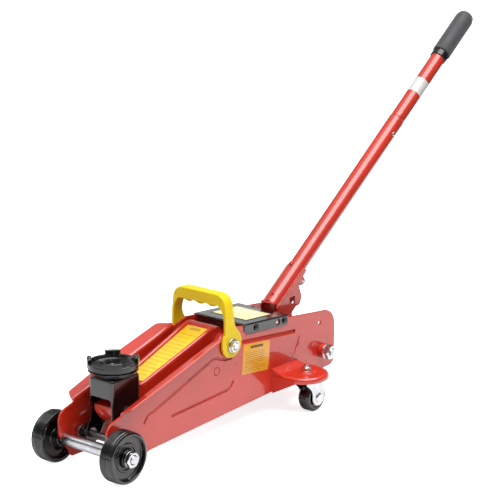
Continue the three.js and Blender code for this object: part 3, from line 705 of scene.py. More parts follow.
def wing():
    far, rear, front = span("wing_left")[1].x, span("wing_left")[1].y, 302
    near = PLATE_OUT + 0.05
    buried = near - 12
    plan = [(buried, front), (far, front + 2, 30.2), (far, rear, 30.2), (buried, rear)]
    deep, wall = buried - 4, far - 3
    hollow = [(deep, front + 3), (wall, front + 5, 27.2), (wall, rear - 3, 27.2), (deep, rear - 3)]
    skirt = [(near, 29), (80, 49, 6), (far + 1, 49.5), (far + 1, 58), (near, 58)]
    shell = slab(plan, 20, WING_TOP, "z", (0, 4.5), 5)
    cut(shell, slab(hollow, 10, WING_TOP - 3, "z", (0, 2), 3))
    common(shell, slab(skirt, front - 5, rear + 5, "y", (0, 0)))
    ramp = [
        (near, WING_TOP - 2), (near + 17, WING_TOP - 2), (near + 17, WING_TOP - 0.05),
        (near + 12, WING_TOP + 0.8, 14), (near, WING_TOP + 6),
    ]
    hole, low, seat = 6.2, WING_TOP - 1, WING_TOP + SEAT_RISE
    ring = [(hole, low), (WING_SEAT + 0.6, low), (WING_SEAT, seat, 1.1), (hole, seat)]
    join(shell, slab(ramp, front, rear - 11, "y", (0, 0)), lathe(ring, "z", CASTER))
    return cut(shell, rod(hole, 30, 70, "z", CASTER, 0))


def make_chassis():
    pair(side_plate(), "chassis_plate", "frame", LOOK["paint"], "side_plate", 0.45)
    pair(wing(), "caster_wing", "frame", LOOK["paint"], "wing", 0.5)
    stub = [(0, 26.2), (7, 26.2, 0.2), (7, 26.8, 0.2), (5, 26.8), (5, 42.1, 0.5), (0, 42.2)]
    pair(lathe(stub, "x", LINK_PIN), "link_pivot", "frame", LOOK["paint"], "link_stub")
    near = PLATE_OUT + 0.3
    ring = [(6.3, near), (10, near, 0.4), (10, 50, 0.7), (6.3, 50)]
    pair(lathe(ring, "x", REAR_BOLT), "bolt_spacer", "frame", LOOK["paint"], "rear_spacer")


# ---------------------------------------------------------------- front axle and wheels
def make_front_axle():
    half = span("front_axle")[1].x
    bar = span("front_axle")[1].z - AXLE.z
    shoulder = PLATE_IN - 0.3
    end = [(bar, shoulder, 0.4), (6, shoulder), (6, 69.2, 0.2), *threaded(6, 69.5, half)]
    piece(lathe(both_ways(end), "x", AXLE), "wheel_axle", "frame", LOOK["zinc_bar"], ["front_axle"])
    pair(washer(6.2, 10, 68.5, 70, "x", AXLE), "wheel_washer", "frame", LOOK["zinc"], "axle_washer")
    nut = cut(hexagon(18.5, 70.2, 75, "x", AXLE), rod(6.2, 60, 90, "x", AXLE, 0))
    pair(nut, "wheel_nut", "frame", LOOK["zinc"], "axle_nut", 0.25)


def front_wheel():
    r = WHEEL_R
    tread = []
    for k in range(5):
        x = 51.4 + 1.9 * k
        tread += [(r, x, 0.25), (r - 0.7, x + 0.45, 0.15), (r - 0.7, x + 0.85, 0.15), (r, x + 1.3, 0.25)]
    profile = [
        (6.3, 42.6), (11, 42.6, 1), (11, 54, 2), (26.5, 54, 2), (27, 48.4, 1), (r - 2.2, 48, 1),
        (r - 0.1, 49.4, 1), *tread, (r, 62.2, 0.4), (r - 0.7, 63, 0.4), (r - 0.7, 64, 0.4),
        (r - 0.2, 64.6, 0.4), (r - 0.8, 67, 1), (r - 3, 68, 1), (28, 67.9, 0.8), (26.4, 62.8, 1.4),
        (18.4, 62.4, 0.8), (17.6, 63.8, 0.7), (15.4, 63.8, 0.7), (14.6, 62.2, 0.7), (12.4, 62.2, 0.8),
        (11.6, 67.6, 0.8), (6.3, 67.9),
    ]
    return lathe(profile, "x", AXLE, 128, turn=24)


def make_front_wheels():
    pair(front_wheel(), "road_wheel", "front_wheel_{}", LOOK["wheel"], "front_wheel")


# ---------------------------------------------------------------- casters
def caster_fork():
    x, y = CASTER.x, CASTER.y
    half = 12.2
    axle_y = CASTER_AXLE.y
    side = [
        (y - 12.5, 48, 2), (y + 17.5, 48, 4), (axle_y + 13, 30, 10), (axle_y + 11.8, 8.2, 11.6),
        (axle_y - 11.8, 8.2, 11.6), (axle_y - 11.6, 30, 14), (y - 12.5, 41, 5),
    ]
    cheeks = slab(side, x - half, x + half, "x", (1.6, 1.6), 3)
    inside = [(y - 30, -20), (y + 50, -20), (y + 50, 45.6), (y - 30, 45.6)]
    cut(cheeks, slab(inside, x - half + 2.2, x + half - 2.2, "x", (0, 0)))
    cup = [
        (6.4, 45.8), (15.4, 45.8, 1.5), (16.6, 49, 1.2), (14.6, 51.2, 1.4), (11.6, 51.6, 1),
        (10.8, 53.5, 0.6), (6.4, 53.5),
    ]
    join(cheeks, lathe(cup, "z", CASTER))
    return cut(cheeks, rod(6.4, 40, 56, "z", CASTER, 0), rod(3.3, 50, 90, "x", CASTER_AXLE, 0))


def make_casters():
    pair(caster_fork(), "swivel_fork", "caster_{}", LOOK["zinc"], "caster_fork", 0.3)
    r = 20
    to_axle = Matrix.Translation((CASTER.x, CASTER_AXLE.y, CASTER_AXLE.z))
    wheel = both_ways([
        (r, 6, 2), (r - 2.4, 9, 1.6), (14.6, 9, 0.6), (13.4, 7, 0.8), (7.6, 7, 0.6), (7, 9.4, 0.5), (3.4, 9.4),
    ])
    rolling = moved(lathe(wheel, "x", (0, 0, 0), 72), to_axle)
    pair(rolling, "swivel_wheel", "caster_wheel_{}", LOOK["wheel"], "caster_wheel")
    pin = both_ways([(3, 12.4), (6.4, 12.4), (6.4, 13, 0.5), (4.8, 14.2, 1.6), (0, 14.5)])
    rivet = moved(lathe(pin, "x", (0, 0, 0), 40), to_axle)
    pair(rivet, "swivel_rivet", "caster_{}", LOOK["zinc"], "caster_axle")
    seat = WING_TOP + SEAT_RISE
    shank = [(0, 41.4), (9, 41.4, 0.5), (9, 45, 0.5), (5.9, 45), (5.9, seat + 0.3), (0, seat + 0.3)]
    bolt = join(
        lathe(shank, "z", CASTER),
        washer(2, 6.9, seat + 0.1, seat + 0.9, "z", CASTER),
        hexagon(11.4, seat + 0.7, seat + 5.8, "z", CASTER),
        lathe([(0, seat + 3), *threaded(3.4, seat + 5, seat + 8.6, 1.0, 0.35)], "z", CASTER, 40),
    )
    pair(bolt, "swivel_bolt", "frame", LOOK["zinc"], "caster_bolt", 0.25)


# ---------------------------------------------------------------- top cover
COVER = (Matrix.Translation((0, COVER_FRONT, top_edge(COVER_FRONT)))
         @ Matrix.Rotation(-math.atan(COVER_FALL), 4, "X"))


def make_cover():
    half, sheet, tab = 43.9, 1.5, 13
    length = COVER_LENGTH
    side = [(0, -tab, 10), (length, -tab, 2.5), (length, 1.8, 1.2), (0, 1.8, 1.6)]
    shell = slab(side, -half, half, "x", (1.8, 1.8), 4)
    room = slab(doorway(half - sheet, -30, 0.3, 1), -20, length + 20, "y", (0, 0))
    cut(shell, room, box(-16, 16, length - 7, length + 9, -6, 6), bore(4.5, (0, 69.6, -5.4), 32))
    screws = [COVER @ Vector((0, along, -5.6)) for along in (24.4, 83.6)]
    rivet = COVER @ Vector((0, 68.2, -5))
    moved(shell, COVER)
    piece(shell, "deck_cover", "frame", LOOK["cover"], ["top_cover"], 0.3)
    head = lathe([(0, 41.5), (2.5, 41.5), (2.5, 43.4, 0.5), (1.2, 44.1, 0.6), (0, 44.2)], "x", rivet, 40)
    pair(head, "deck_rivet", "frame", LOOK["zinc"])
    for place, name in zip(screws, ("front", "rear")):
        screw = lathe([(0, 37), (2.4, 37), (2.4, 44.1), (4.3, 44.1, 0.3), (4.4, 45.3, 0.5), (3.0, 46.5, 0.9),
                       (0, 46.7)], "x", place, 40)
        for a, b in ((0.5, 2.2), (2.2, 0.5)):
            cut(screw, box(45.6, 50, place.y - a, place.y + a, place.z - b, place.z + b))
        pair(screw, f"deck_screw_{name}", "frame", LOOK["gloss"], f"cover_screw_{name}", 0.1)


# ---------------------------------------------------------------- labels
def label(name, body, look, size, matrix, corner=2.5, thick=0.35, taper=0.0):
    """A sticker drawn flat and centred, narrower by taper at its near end, then laid in place."""
    a, b = size[0] / 2, size[1] / 2
    near = a - taper / 2
    plan = [(-near, -b, corner), (near, -b, corner), (a, b, corner), (-a, b, corner)]
    sheet = slab(plan, 0, thick, "z", (0, 0.12), 2)
    sheet.name = name
    sheet.data.transform(Matrix.Scale(MM, 4))
    sheet.data.materials.append(look["material"])
    sheet.data.shade_smooth()
    sheet.data.set_sharp_from_angle(angle=math.radians(50))
    position, turning, _ = (TO_FRAME @ matrix).decompose()
    sheet.matrix_world = Matrix.LocRotScale(position, turning, None)
    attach(sheet, body)


def make_labels():
    label("deck_label", "frame", LOOK["label_cover"], (62, 55), COVER @ Matrix.Translation((0, 46.5, 1.75)))
    slope = math.atan2(104.7 - 110.2, 297.9 - 243.8)
    upright = Matrix(((0, 0, 1, 0), (1, 0, 0, 0), (0, 1, 0, 0), (0, 0, 0, 1)))
    side = Matrix.Translation((PLATE_OUT - 0.05, 268.4, 87.4)) @ upright @ Matrix.Rotation(slope, 4, "Z")
    label("side_label", "frame", LOOK["label_side"], (54, 40), side, 1.0)


# ---------------------------------------------------------------- arm pivot and carry handle
def make_arm_pivot():
    shoulder, end = 42.4, span("arm_pivot_shaft")[1].x
    side = [(7, shoulder, 0.3), (5, shoulder), (5, 47), *threaded(5, 47.4, end)]
    piece(lathe(both_ways(side), "x", PIVOT, 48), "arm_axle", "frame", LOOK["zinc"], ["arm_pivot_shaft"])
    start = span("pivot_nut_left")[0].x
    nut = join(
        washer(3, 9.4, start, start + 1.8, "x", PIVOT, 0.7),
        hexagon(15, start + 1.6, start + 5.8, "x", PIVOT),
    )
    pair(cut(nut, bore(5.2, PIVOT)), "arm_nut", "frame", LOOK["zinc"], "pivot_nut", 0.25)


def make_carry_handle():
    """The bow's arms stand straight beside the plates, then lean in towards the grip."""
    low, high = span("carry_handle")
    outer, sheet, lean, lean_from, reach = high.x, 3.6, 3, 151, 18.5
    inner = outer - sheet
    y, z, top = PIVOT.y, PIVOT.z, high.z
    roof = top - reach
    front, back = y - 12.8, y + 3.6
    bow = [(-outer, z), (outer, z), (outer, lean_from, 20), (outer - lean, top, 16), (lean - outer, top, 16),
           (-outer, lean_from, 20)]
    opening = [(-inner, z - 1), (inner, z - 1), (inner, lean_from, 20), (inner - lean, roof, 9),
               (lean - inner, roof, 9), (-inner, lean_from, 20)]
    bar = slab(bow, front, back, "y", (1.5, 1.5), 4)
    cut(bar, slab(opening, y - 20, y + 20, "y", (0, 0)))
    for finger in (-30, -10, 10, 30):
        cut(bar, rod(9.2, y - 20, y + 20, "y", (finger, 0, roof - 5.6), 0, 64))
    sloped = [(front - 1, roof - 1), (front + 4.2, roof - 1), (front - 1, roof + 4.8)]
    cut(bar, slab(sloped, -30, 30, "x", (0, 0)))  # leaves room for the raised arm's rolled edges
    disc = (high.y - low.y) / 2
    disc_at = (0, y, low.z + disc)
    for x0, x1 in ((inner, outer), (-outer, -inner)):
        flare = [
            (y - 14, z), (y + 15, z), (y + 14.4, z + 14, 3), (y + 5.4, z + 26, 16),
            (back - 0.1, lean_from + 6), (front + 0.1, lean_from + 6), (front - 0.6, z + 20, 10),
        ]
        join(bar, slab(flare, x0 + 0.02, x1 - 0.02, "x", (0.8, 0.8)), rod(disc, x0, x1, "x", disc_at, 1.2, 72))
    cut(bar, bore(5.3, PIVOT))
    piece(bar, "carry_bow", "carry_handle", LOOK["yellow"], ["carry_handle"], 1.0)


# ---------------------------------------------------------------- lift arm, links, bracket and saddle
ARM_SLOPE = math.atan2(139.5 - 75.5, 214 - 27)


def arm_top(y):
    return 75.5 + (y - 27) * math.tan(ARM_SLOPE)


ARM_WIDTHS = [(16.7, 15), (16.7, 74), (19.5, 80), (24, 200), (24, 212), (22, 222), (22, 260)]


def arm_half(y):
    """Half the arm's width at this distance from the front axle."""
    for (wide, start), (onward, end) in zip(ARM_WIDTHS, ARM_WIDTHS[1:]):
        if y <= end:
            return wide + (onward - wide) * (y - start) / (end - start)
    return ARM_WIDTHS[-1][0]


def arm_plan(margin):
    right = [(half - margin, y) for half, y in ARM_WIDTHS]
    return right + [(-x, y) for x, y in reversed(right)]


def make_arm():
    side = [
        (27, 75.5, 3), (214, 139.5, 7), (234, 124, 12), (249, 86, 9), (236, 76, 8), (212, 92, 8),
        (190, 97, 20), (62, 48, 14), (36, 48, 8), (27, 66, 4),
    ]
    wall = 3.6
    inside = arm_plan(wall)
    inside[0], inside[-1] = (inside[0][0], 13), (inside[-1][0], 13)
    under = [(31, 20), (31, 73.2), (219, 137.5), (221, 170), (270, 170), (270, 20)]
    shell = common(slab(side, -25, 25, "x", (0, 0)), slab(arm_plan(0), 0, 200, "z", (0, 0)))
    nose = [(-30, 90), (-30, 20), (-8, 20), (-8, 52, 4), (-16.2, 73, 3), (-16.2, 90)]
    for sign in (-1, 1):
        cut(shell, slab([(-sign * x, z, *rest) for x, z, *rest in nose], 20, 42, "y", (0, 0)))
    cut(shell, common(slab(inside, 10, 180, "z", (0, 0)), slab(under, -40, 40, "x", (0, 0))))
    cut(shell, lathe([(0, 20), (7, 20), (7, 26.8, 1), (4, 28.6, 1.5), (0, 28.6)], "y", (0, 0, 64)))
    for x0, x1 in ((18, 38.6), (-38.6, -18)):
        join(shell, rod(12, x0, x1, "x", PIVOT, 1.0))
    for sign in (-1, 1):
        stations = [77 + 128 * k / 20 for k in range(21)]
        path = [(sign * (arm_half(y) - 2.9), y, arm_top(y) + 0.7) for y in stations]
        join(shell, tube(path, 2.9, 20))
        join(shell, tube([(sign * 15, 209, arm_top(209) - 0.4), (sign * 20.6, 207, arm_top(207) + 0.6)], 2.4))
    join(shell, tube([(x, 207.5, arm_top(207.5) - 0.6) for x in (-17, 17)], 2.2))
    cut(
        shell,
        bore(7.3, PIVOT),
        bore(5.3, NOSE_PIN),
        bore(5.2, LEVER_PIN),
    )
    piece(shell, "arm_channel", "arm", LOOK["paint"], ["lift_arm"], 0.9)
    middle_y, length = 144, 124
    place = Matrix.Translation((0, middle_y, arm_top(middle_y) - 0.05)) @ Matrix.Rotation(ARM_SLOPE, 4, "X")
    label("arm_label", "arm", LOOK["label_arm"], (35, length), place, 1.5, taper=8)


def headed_pin(at, radius, half, head, length):
    neck = half - length
    side = [(radius, neck), (head, neck, 0.3), (head, half - 0.4, 0.8), (0, half)]
    return lathe(both_ways(side), "x", at, 40)


def make_pins():
    for node, body, at, size, look in (
        ("lever_pin", "arm", LEVER_PIN, (5, 24.8, 7, 2.6), "steel"),
        ("arm_nose_pin", "bracket", NOSE_PIN, (5, 23.4, 8, 3), "steel"),
        ("link_nose_pin", "bracket", LINK_NOSE, (4.8, 37.2, 8, 4.6), "steel"),
        ("socket_pin", "frame", SOCKET_PIN, (4, 17.4, 6.5, 2.2), "zinc"),
    ):
        piece(headed_pin(at, *size), node + "_turned", body, LOOK[look], [node])


def make_links():
    start, end = Vector((LINK_NOSE.y, LINK_NOSE.z)), Vector((LINK_PIN.y, LINK_PIN.z))
    run = end - start
    half = 8.5
    bar = slab(lozenge(-half, run.length + half, -half, half, half - 0.1), 27, 32, "x", (0.8, 0.8))
    cut(bar, bore(5.3, (0, 0, 0), 32), bore(5.3, (0, run.length, 0), 32))
    moved(bar, Matrix.Translation((0, start.x, start.y)) @ Matrix.Rotation(math.atan2(run.y, run.x), 4, "X"))
    pair(bar, "link_strap", "links", LOOK["black"], "link_bar", 0.3)


def make_bracket():
    half, front, rear, top = 20, 22, 72, 113
    leg = [
        (front, top, 4), (rear, top, 5), (rear, 74, 10), (46, 44, 14), (36, 27, 9), (14, 27, 9), (13, 44, 9),
        (front, 60, 8),
    ]
    block = slab(leg, -half, half, "x", (4.4, 4.4), 6)
    room = slab(doorway(half - 2.8, 0, top - 3, 2), front + 3, rear + 5, "y", (0, 0))
    window = slab(doorway(half - 2.8, -5, 88, 3), 0, front + 4, "y", (0, 0))
    cut(block, room, window)
    cut(block, bore(5.2, NOSE_PIN), bore(5, LINK_NOSE),
        rod(8.4, 100, 120, "z", middle("saddle"), 0))
    piece(block, "saddle_yoke", "bracket", LOOK["bracket"], ["saddle_bracket"], 0.7)
    # A thin matt black sheet inside each leg of the yoke: painted shade that darkens the legs' inner faces.
    shade_lining = [
        (front + 3.4, 108, 1), (rear - 4, 108, 2), (rear - 4, 78, 8), (46, 48, 12), (35, 31, 7),
        (17, 31, 7), (16, 46, 8), (front + 3.4, 62, 7),
    ]
    shade_liner = slab(shade_lining, half - 3.1, half - 2.75, "x", (0, 0))
    cut(shade_liner, bore(8.4, NOSE_PIN), bore(8.4, LINK_NOSE))
    pair(shade_liner, "yoke_shade_liner", "bracket", LOOK["shade_liner"])


def make_saddle():
    centre = middle("saddle")
    high = span("saddle")[1].z
    outer = 32.2
    cup = [
        (0, 104), (8, 104, 0.6), (8, 113.4), (24, 113.4, 0.8), (28.6, 115.4, 1.4), (31.6, 119.4, 0.7),
        (29, 120.8, 0.4), (29, 121.6, 0.3), (outer, 122.6, 0.8), (outer, 128.9, 1.0), (28.4, 128.9, 0.7),
        (27, 124.4, 1.0), (15, 122.4, 1.0), (13, 124.6, 0.8), (5, 124.8, 0.5), (4, 123.2, 0.3), (0, 123.2),
    ]
    body = lathe(cup, "z", centre, 96)
    for k in range(4):
        middle_angle = math.pi / 4 + k * math.pi / 2
        swing = math.radians(18)
        count = 10
        angles = [middle_angle - swing + 2 * swing * j / count for j in range(count + 1)]
        ring = [(outer * math.cos(a), outer * math.sin(a)) for a in angles]
        ring += [(27.8 * math.cos(a), 27.8 * math.sin(a)) for a in angles[::-1]]
        lug = slab([(x + centre.x, y + centre.y) for x, y in ring], 125, high, "z", (0.3, 1.3), 4)
        join(body, lug)
    for k in range(4):
        rib = box(12, 27.5, -1.4, 1.4, 120, 124.6, 0.6)
        moved(rib, Matrix.Translation((centre.x, centre.y, 0)) @ Matrix.Rotation(math.pi / 2 * k, 4, "Z"))
        join(body, rib)
    piece(body, "saddle_cup", "saddle", LOOK["gloss"], ["saddle"], 0.35)


# ---------------------------------------------------------------- hydraulic unit
def make_hydraulics():
    y = LEVER_PIN.y
    yoke = box(-11.5, 11.5, y - 9.9, y + 9.9, 60, 98, 1.2)
    join(yoke, rod(11, y + 9, 322, "y", (0, 0, RAM_Z), 0.8), box(-34, 34, y - 5.5, y + 5.5, 60, 67, 1.0))
    slot = slab(lozenge(y - 5.9, y + 5.9, 75, 94.3, 5.8), -20, 20, "x", (0, 0))
    piece(cut(yoke, slot), "ram_yoke", "ram", LOOK["steel"], ["ram"], 0.4)
    front, back = 262, span("hydraulic_cylinder")[1].y
    profile = [
        (11.4, front), (20, front, 1), (20, front + 8, 0.6), (24, front + 10, 1), (24, back), (8, back),
        (8, 325), (14, 325), (14, front + 9), (11.4, front + 9),
    ]
    barrel = lathe(profile, "y", (0, 0, RAM_Z), 72)
    piece(barrel, "cylinder_barrel", "frame", LOOK["cast"], ["hydraulic_cylinder"])
    low, high = span("pump_block")
    floor, top = low.z, 86
    side = [(low.y, floor, 5), (high.y, floor, 9), (high.y, top, 9), (low.y, top, 5)]
    body = slab(side, low.x, high.x, "x", (3, 3), 4)
    ear = slab(doorway(7.3, top - 6, SOCKET_PIN.z + 7.3, 7.2, SOCKET_PIN.y), -8, 8, "x", (1, 1))
    join(body, ear, rod(9, top - 4, 93, "z", PLUNGER, 1.0))
    cut(
        body,
        bore(4.2, SOCKET_PIN),
        bore(6.4, REAR_BOLT),
        rod(5.3, 46, 120, "z", PLUNGER, 0),
        rod(4.8, 396, 440, "y", VALVE, 0),
    )
    piece(body, "pump_body", "frame", LOOK["cast"], ["pump_block"], 0.5)
    for x, side in ((-24, "right"), (24, "left")):
        for place_y, end in ((high.y - 14, "rear"), (low.y + 14, "front")):
            bolt = hexagon(11, top - 1, top + 4.5, "z", (x, place_y, 0), 0.8)
            piece(bolt, f"block_plug_{side}_{end}", "frame", LOOK["zinc"], (), 0.2)
    low, high = (corner.z for corner in span("pump_plunger"))
    plunger = rod(5, low, high, "z", PLUNGER, 0.6)
    piece(plunger, "plunger_rod", "plunger", LOOK["zinc"], ["pump_plunger"])


def make_release_valve():
    rear = span("pump_block")[1].y
    stem = rod(4.5, rear - 22, rear + 6, "y", VALVE, 0.3)
    knob = lathe([(0, rear + 5), (8, rear + 5, 0.8), (8, rear + 14, 0.8), (0, rear + 14)], "y", VALVE, 48)
    join(stem, knob)
    cut(stem, box(-10, 10, rear + 10.5, rear + 20, VALVE.z - 1.5, VALVE.z + 1.5))
    for k in range(18):
        angle = 2 * math.pi * k / 18
        at = (VALVE.x + 8.5 * math.cos(angle), 0, VALVE.z + 8.5 * math.sin(angle))
        cut(stem, rod(0.9, rear + 3, rear + 20, "y", at, 0, 12))
    piece(stem, "valve_knob", "release_valve", LOOK["steel"], ["release_valve"], 0.15)


def make_rear_bolt():
    half = span("rear_cross_bolt")[1].x
    side = [(6, 52.2), *threaded(6, 52.5, half)]
    bolt = lathe(both_ways(side), "x", REAR_BOLT, 48)
    piece(bolt, "cross_bolt", "frame", LOOK["zinc_bar"], ["rear_cross_bolt"])
    nut = join(washer(3, 10.5, 50.3, 52.1, "x", REAR_BOLT), hexagon(18, 51.8, 59.3, "x", REAR_BOLT, 1.4))
    pair(cut(nut, bore(6.2, REAR_BOLT)), "cross_nut", "frame", LOOK["zinc"], "rear_nut", 0.25)


def make_springs():
    low, high = span("return_spring_left")
    x, z = (low.x + high.x) / 2, (low.z + high.z) / 2
    radius, wire, coils = 3.2, 0.8, 14
    start, end = low.y + 5, high.y - 5
    path = [(x, low.y + 0.8, z), (x, low.y + 3, z)]
    steps = coils * 14
    for k in range(steps + 1):
        angle = 2 * math.pi * coils * k / steps
        grow = min(1, k / 8, (steps - k) / 8)
        path.append((x + radius * grow * math.cos(angle), start + (end - start) * k / steps,
                     z + radius * grow * math.sin(angle)))
    path += [(x, high.y - 3, z), (x, high.y - 0.8, z)]
    coil = tube(path, wire, 8)
    for side, twin in (("left", coil), ("right", mirrored(coil))):
        name = f"arm_spring_{side}"
        piece(twin, name, "frame", LOOK["steel"], [f"return_spring_{side}"])
        twin.parent = None
        del twin["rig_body"]
        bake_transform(twin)


# ---------------------------------------------------------------- handle, drawn along Y from its lower end
def on_handle(point):
    return HANDLE.inverted() @ Vector(point)


def make_socket():
    pivot = on_handle(SOCKET_PIN)
    roller = on_handle(middle("socket_roller"))
    clamp = on_handle(middle("clamp_screw")).y
    outer = 14.8
    cheek = [
        (4, 4, 2), (78, 4, 2), (79, -4, 1.5), (58, -7.5, 6), (54, -10, 3), (51.2, -24, 5), (45, -29, 4),
        (40, -31.2, 4), (33, -26.8, 3), (21, -27.4, 3), (roller.y + 4.5, roller.z - 6, 6),
        (pivot.y - 8.5, pivot.z - 7, 8.4), (pivot.y - 8.5, pivot.z + 10, 6), (-1, -8, 3),
    ]
    window = [(26, -12.8, 1.5), (30.5, -6.5, 1.5), (40.5, -13, 1.5), (33, -21, 1.5)]
    body = lathe([(11.7, 7), (12.6, 7, 0.4), (12.6, 78, 0.4), (11.7, 78)], "y", (0, 0, 0), 72)
    for x0, x1 in ((outer - 2.5, outer), (-outer, 2.5 - outer)):
        wall = slab(cheek, x0, x1, "x", (0.7, 0.7), 2)
        join(body, cut(wall, slab(window, x0 - 1, x1 + 1, "x", (0, 0))))
    join(
        body,
        box(-10, 10, 3.8, 7.3, -12.4, 11.2, 0.6),
        box(-13, 13, 3.8, 6.8, -12.4, -3),
        box(-9, 9, 25, 43, -22.5, -11, 0.5),
        rod(6, -18, -11.9, "z", (0, clamp, 0), 0.6),
        box(-2.2, 2.2, 70.5, 76.5, 12.2, 15.5, 0.8),
    )
    cut(
        body,
        rod(11.7, 6.5, 90, "y", (0, 0, 0), 0, 72),
        bore(4.4, pivot),
        bore(3, roller),
        rod(3.2, -25, 0, "z", (0, clamp, 0), 0),
        moved(rod(3, 5, 25, "z", (0, 17, 0), 0, 32), Matrix.Rotation(math.radians(12), 4, "Y")),
    )
    piece(moved(body, HANDLE), "socket_shell", "socket", LOOK["paint"], ["handle_socket"], 0.5)
    wheel = [
        (0, -14.6), (2.7, -14.6), (2.7, -11.9), (5, -11.9, 0.5), (5, 11.9, 0.5), (2.7, 11.9),
        (2.7, 14.6, 0.4), (0, 14.6),
    ]
    turned = lathe(wheel, "x", roller, 40)
    piece(moved(turned, HANDLE), "pump_roller", "socket", LOOK["steel"], ["socket_roller"])
    at = (0, clamp, 0)
    screw = join(rod(3, -20, -11.6, "z", at), hexagon(11, -18.3, -25, "z", at, 0.8))
    piece(moved(screw, HANDLE), "tube_clamp_screw", "socket", LOOK["zinc"], ["clamp_screw"], 0.2)


def make_handle():
    joint = 365
    button = (0, 338, 0)
    lower = lathe([(9.9, 12), (11.3, 12, 0.4), (11.3, joint, 0.5), (9.9, joint)], "y", (0, 0, 0), 72)
    cut(lower, rod(3.5, 5, 20, "x", button, 0, 32))
    piece(moved(lower, HANDLE), "lever_tube_lower", "socket", LOOK["paint"], ["handle_lower"], 0.2)
    profile = [
        (8.2, joint - 60), (9.6, joint - 60, 0.4), (9.6, joint + 0.4), (10.8, joint + 2, 0.8),
        (10.8, 585, 0.4), (9.2, 585), (9.2, joint + 4), (8.2, joint),
    ]
    upper = cut(lathe(profile, "y", (0, 0, 0), 72), rod(3.5, 5, 20, "x", button, 0, 32))
    piece(moved(upper, HANDLE), "lever_tube_upper", "socket", LOOK["paint"], ["handle_upper"], 0.2)
    stud = lathe([(0, 6.5), (3.1, 6.5, 0.3), (3.1, 12, 0.9), (0, 13.6)], "x", button, 32)
    piece(moved(stud, HANDLE), "joint_button", "handle_button", LOOK["zinc"], ["handle_button"])
    grip = lathe([
        (0, 586.2), (11, 586.2), (11, 505), (13.1, 505, 0.6), (13.8, 507, 1.5), (13.8, 579, 6),
        (11.4, 587.4, 3), (0, 588.3),
    ], "y", (0, 0, 0), 72)
    piece(moved(grip, HANDLE), "grip_sleeve", "socket", LOOK["foam"], ["handle_grip"])
    collar = lathe([(11, 494), (12.3, 494, 1), (12.3, 504.4, 1), (11, 504.4)], "y", (0, 0, 0), 72)
    piece(moved(collar, HANDLE), "grip_ring", "socket", LOOK["collar"])
    band = lathe([(10.85, 417), (11.0, 417), (11.0, 444), (10.85, 444)], "y", (0, 0, 0), 72)
    keep = box(-30, 30, 400, 470, -5, 30)
    piece(moved(common(band, keep), HANDLE), "tube_label", "socket", LOOK["label_plain"])


# ---------------------------------------------------------------- build
for make in (
    make_chassis, make_front_axle, make_front_wheels, make_casters, make_cover, make_labels, make_arm_pivot,
    make_carry_handle, make_arm, make_pins, make_links, make_bracket, make_saddle, make_hydraulics,
    make_release_valve, make_rear_bolt, make_springs, make_socket, make_handle,
):
    make()


# ---------------------------------------------------------------- stage
def floor_look():
    """Pale floor, lit softly round the jack. Seen directly it glows, a painted light that runs out into white
    and lifts the jack's shadow on it to faint; in reflections it runs out into painted shade, as in a small
    studio."""
    look = Look("studio_floor")
    cloud = look.noise(1.2, 3)
    place = look.add("NewGeometry").outputs["Position"]
    ahead = look.add("VectorMath", {0: place, 1: (0, -0.12, 0)}, operation="ADD").outputs[0]
    flat = look.add("VectorMath", {0: ahead, 1: (1, 0.6, 0)}, operation="MULTIPLY").outputs[0]
    away = look.add("VectorMath", {0: flat}, operation="LENGTH").outputs["Value"]
    seen = look.add("LightPath").outputs["Is Camera Ray"]
    pale = look.mix(look.ramp(cloud, 0.3, 0.7), (0.86, 0.86, 0.86, 1), (0.9, 0.9, 0.9, 1))
    shade = look.mix(look.ramp(away, 0.5, 0.72), pale, (0.08, 0.08, 0.08, 1))
    look.set(Base_Color=look.mix(seen, shade, pale), Roughness=0.75, Specular_IOR_Level=0.1)
    # Painted light: for camera rays the floor glows, lifting the jack's shadow on it to faint.
    painted_glow = look.maths("MULTIPLY", seen, look.ramp(away, 0.12, 0.6, 0.75, 1.0))
    look.set(Emission_Color=(1, 1, 1, 1), Emission_Strength=painted_glow)
    return look.material


def make_stage():
    data = bmesh.new()
    bmesh.ops.create_grid(data, x_segments=2, y_segments=2, size=6)
    mesh = bpy.data.meshes.new("studio_floor")
    data.to_mesh(mesh)
    data.free()
    floor = bpy.data.objects.new("studio_floor", mesh)
    mesh.materials.append(floor_look())
    bpy.context.scene.collection.objects.link(floor)
    make_world()
    for name, place, size, radiance in (
        ("overhead", (0.75, -0.15, 2.0), (1.7, 2.6), 5.2),
        ("left_fill", (-2.0, -0.8, 1.2), (1.4, 1.4), 1.2),
    ):
        lamp = bpy.data.lights.new(name, "AREA")
        lamp.shape = "RECTANGLE"
        lamp.size, lamp.size_y = size
        lamp.energy = radiance * math.pi * size[0] * size[1]
        obj = bpy.data.objects.new(name, lamp)
        obj.location = place
        aim = (Vector((0, 0, 0.1)) - Vector(place)) if name != "overhead" else Vector((0, 0, -1))
        obj.rotation_euler = aim.to_track_quat("-Z", "Y").to_euler()
        bpy.context.scene.collection.objects.link(obj)


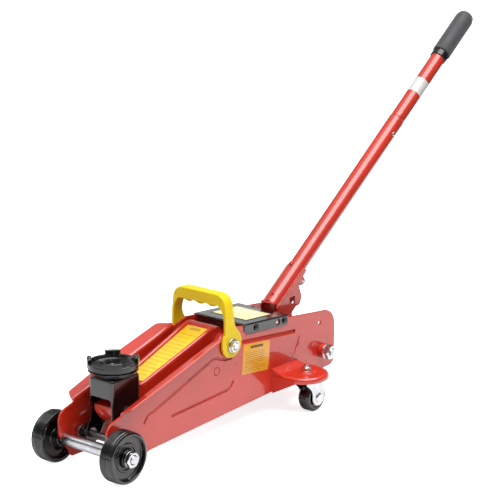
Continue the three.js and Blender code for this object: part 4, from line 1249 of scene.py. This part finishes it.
def make_world():
    """A pale room: bright near the horizon towards -X, dim elsewhere, white where the camera sees it."""
    world = bpy.data.worlds.new("studio")
    world.use_nodes = True
    nodes, links = world.node_tree.nodes, world.node_tree.links
    way = nodes.new("ShaderNodeSeparateXYZ")
    links.new(nodes.new("ShaderNodeTexCoord").outputs["Generated"], way.inputs[0])
    lifted = nodes.new("ShaderNodeMapRange")
    links.new(way.outputs[0], lifted.inputs["Value"])
    for key, value in (("From Min", -0.05), ("From Max", 0.35), ("To Min", 0.0), ("To Max", 0.26)):
        lifted.inputs[key].default_value = value
    height = nodes.new("ShaderNodeMath")
    height.operation = "MAXIMUM"
    links.new(way.outputs[2], height.inputs[0])
    links.new(lifted.outputs["Result"], height.inputs[1])
    grade = nodes.new("ShaderNodeValToRGB")
    stops = ((0.0, 1.5), (0.12, 1.4), (0.22, 0.18), (0.55, 0.22), (0.8, 0.6), (1.0, 0.8))
    while len(grade.color_ramp.elements) < len(stops):
        grade.color_ramp.elements.new(0.5)
    for element, (place, level) in zip(grade.color_ramp.elements, stops):
        element.position = place
        element.color = (level, level, level, 1)
    links.new(height.outputs[0], grade.inputs[0])
    seen = nodes.new("ShaderNodeMixRGB")
    links.new(nodes.new("ShaderNodeLightPath").outputs["Is Camera Ray"], seen.inputs["Fac"])
    links.new(grade.outputs["Color"], seen.inputs["Color1"])
    seen.inputs["Color2"].default_value = (1, 1, 1, 1)
    links.new(seen.outputs["Color"], nodes["Background"].inputs["Color"])
    bpy.context.scene.world = world


def make_camera():
    azimuth, elevation, roll = (math.radians(a) for a in (39.49, 14.26, 0.09))
    lens = bpy.data.cameras.new("camera")
    lens.sensor_width = 36
    lens.lens = 126
    lens.clip_start = 0.05
    camera = bpy.data.objects.new("camera", lens)
    camera.location = Vector((1.4195, AXLE_Y - 1.4158, 0.7847))
    back = Vector((math.sin(azimuth) * math.cos(elevation), -math.cos(azimuth) * math.cos(elevation),
                   math.sin(elevation)))
    camera.rotation_mode = "QUATERNION"
    tilt = Matrix.Rotation(roll, 4, "Z").to_quaternion()
    camera.rotation_quaternion = (-back).to_track_quat("-Z", "Y") @ tilt
    bpy.context.scene.collection.objects.link(camera)
    bpy.context.scene.camera = camera


make_stage()
make_camera()
bpy.context.scene.view_settings.view_transform = "Standard"
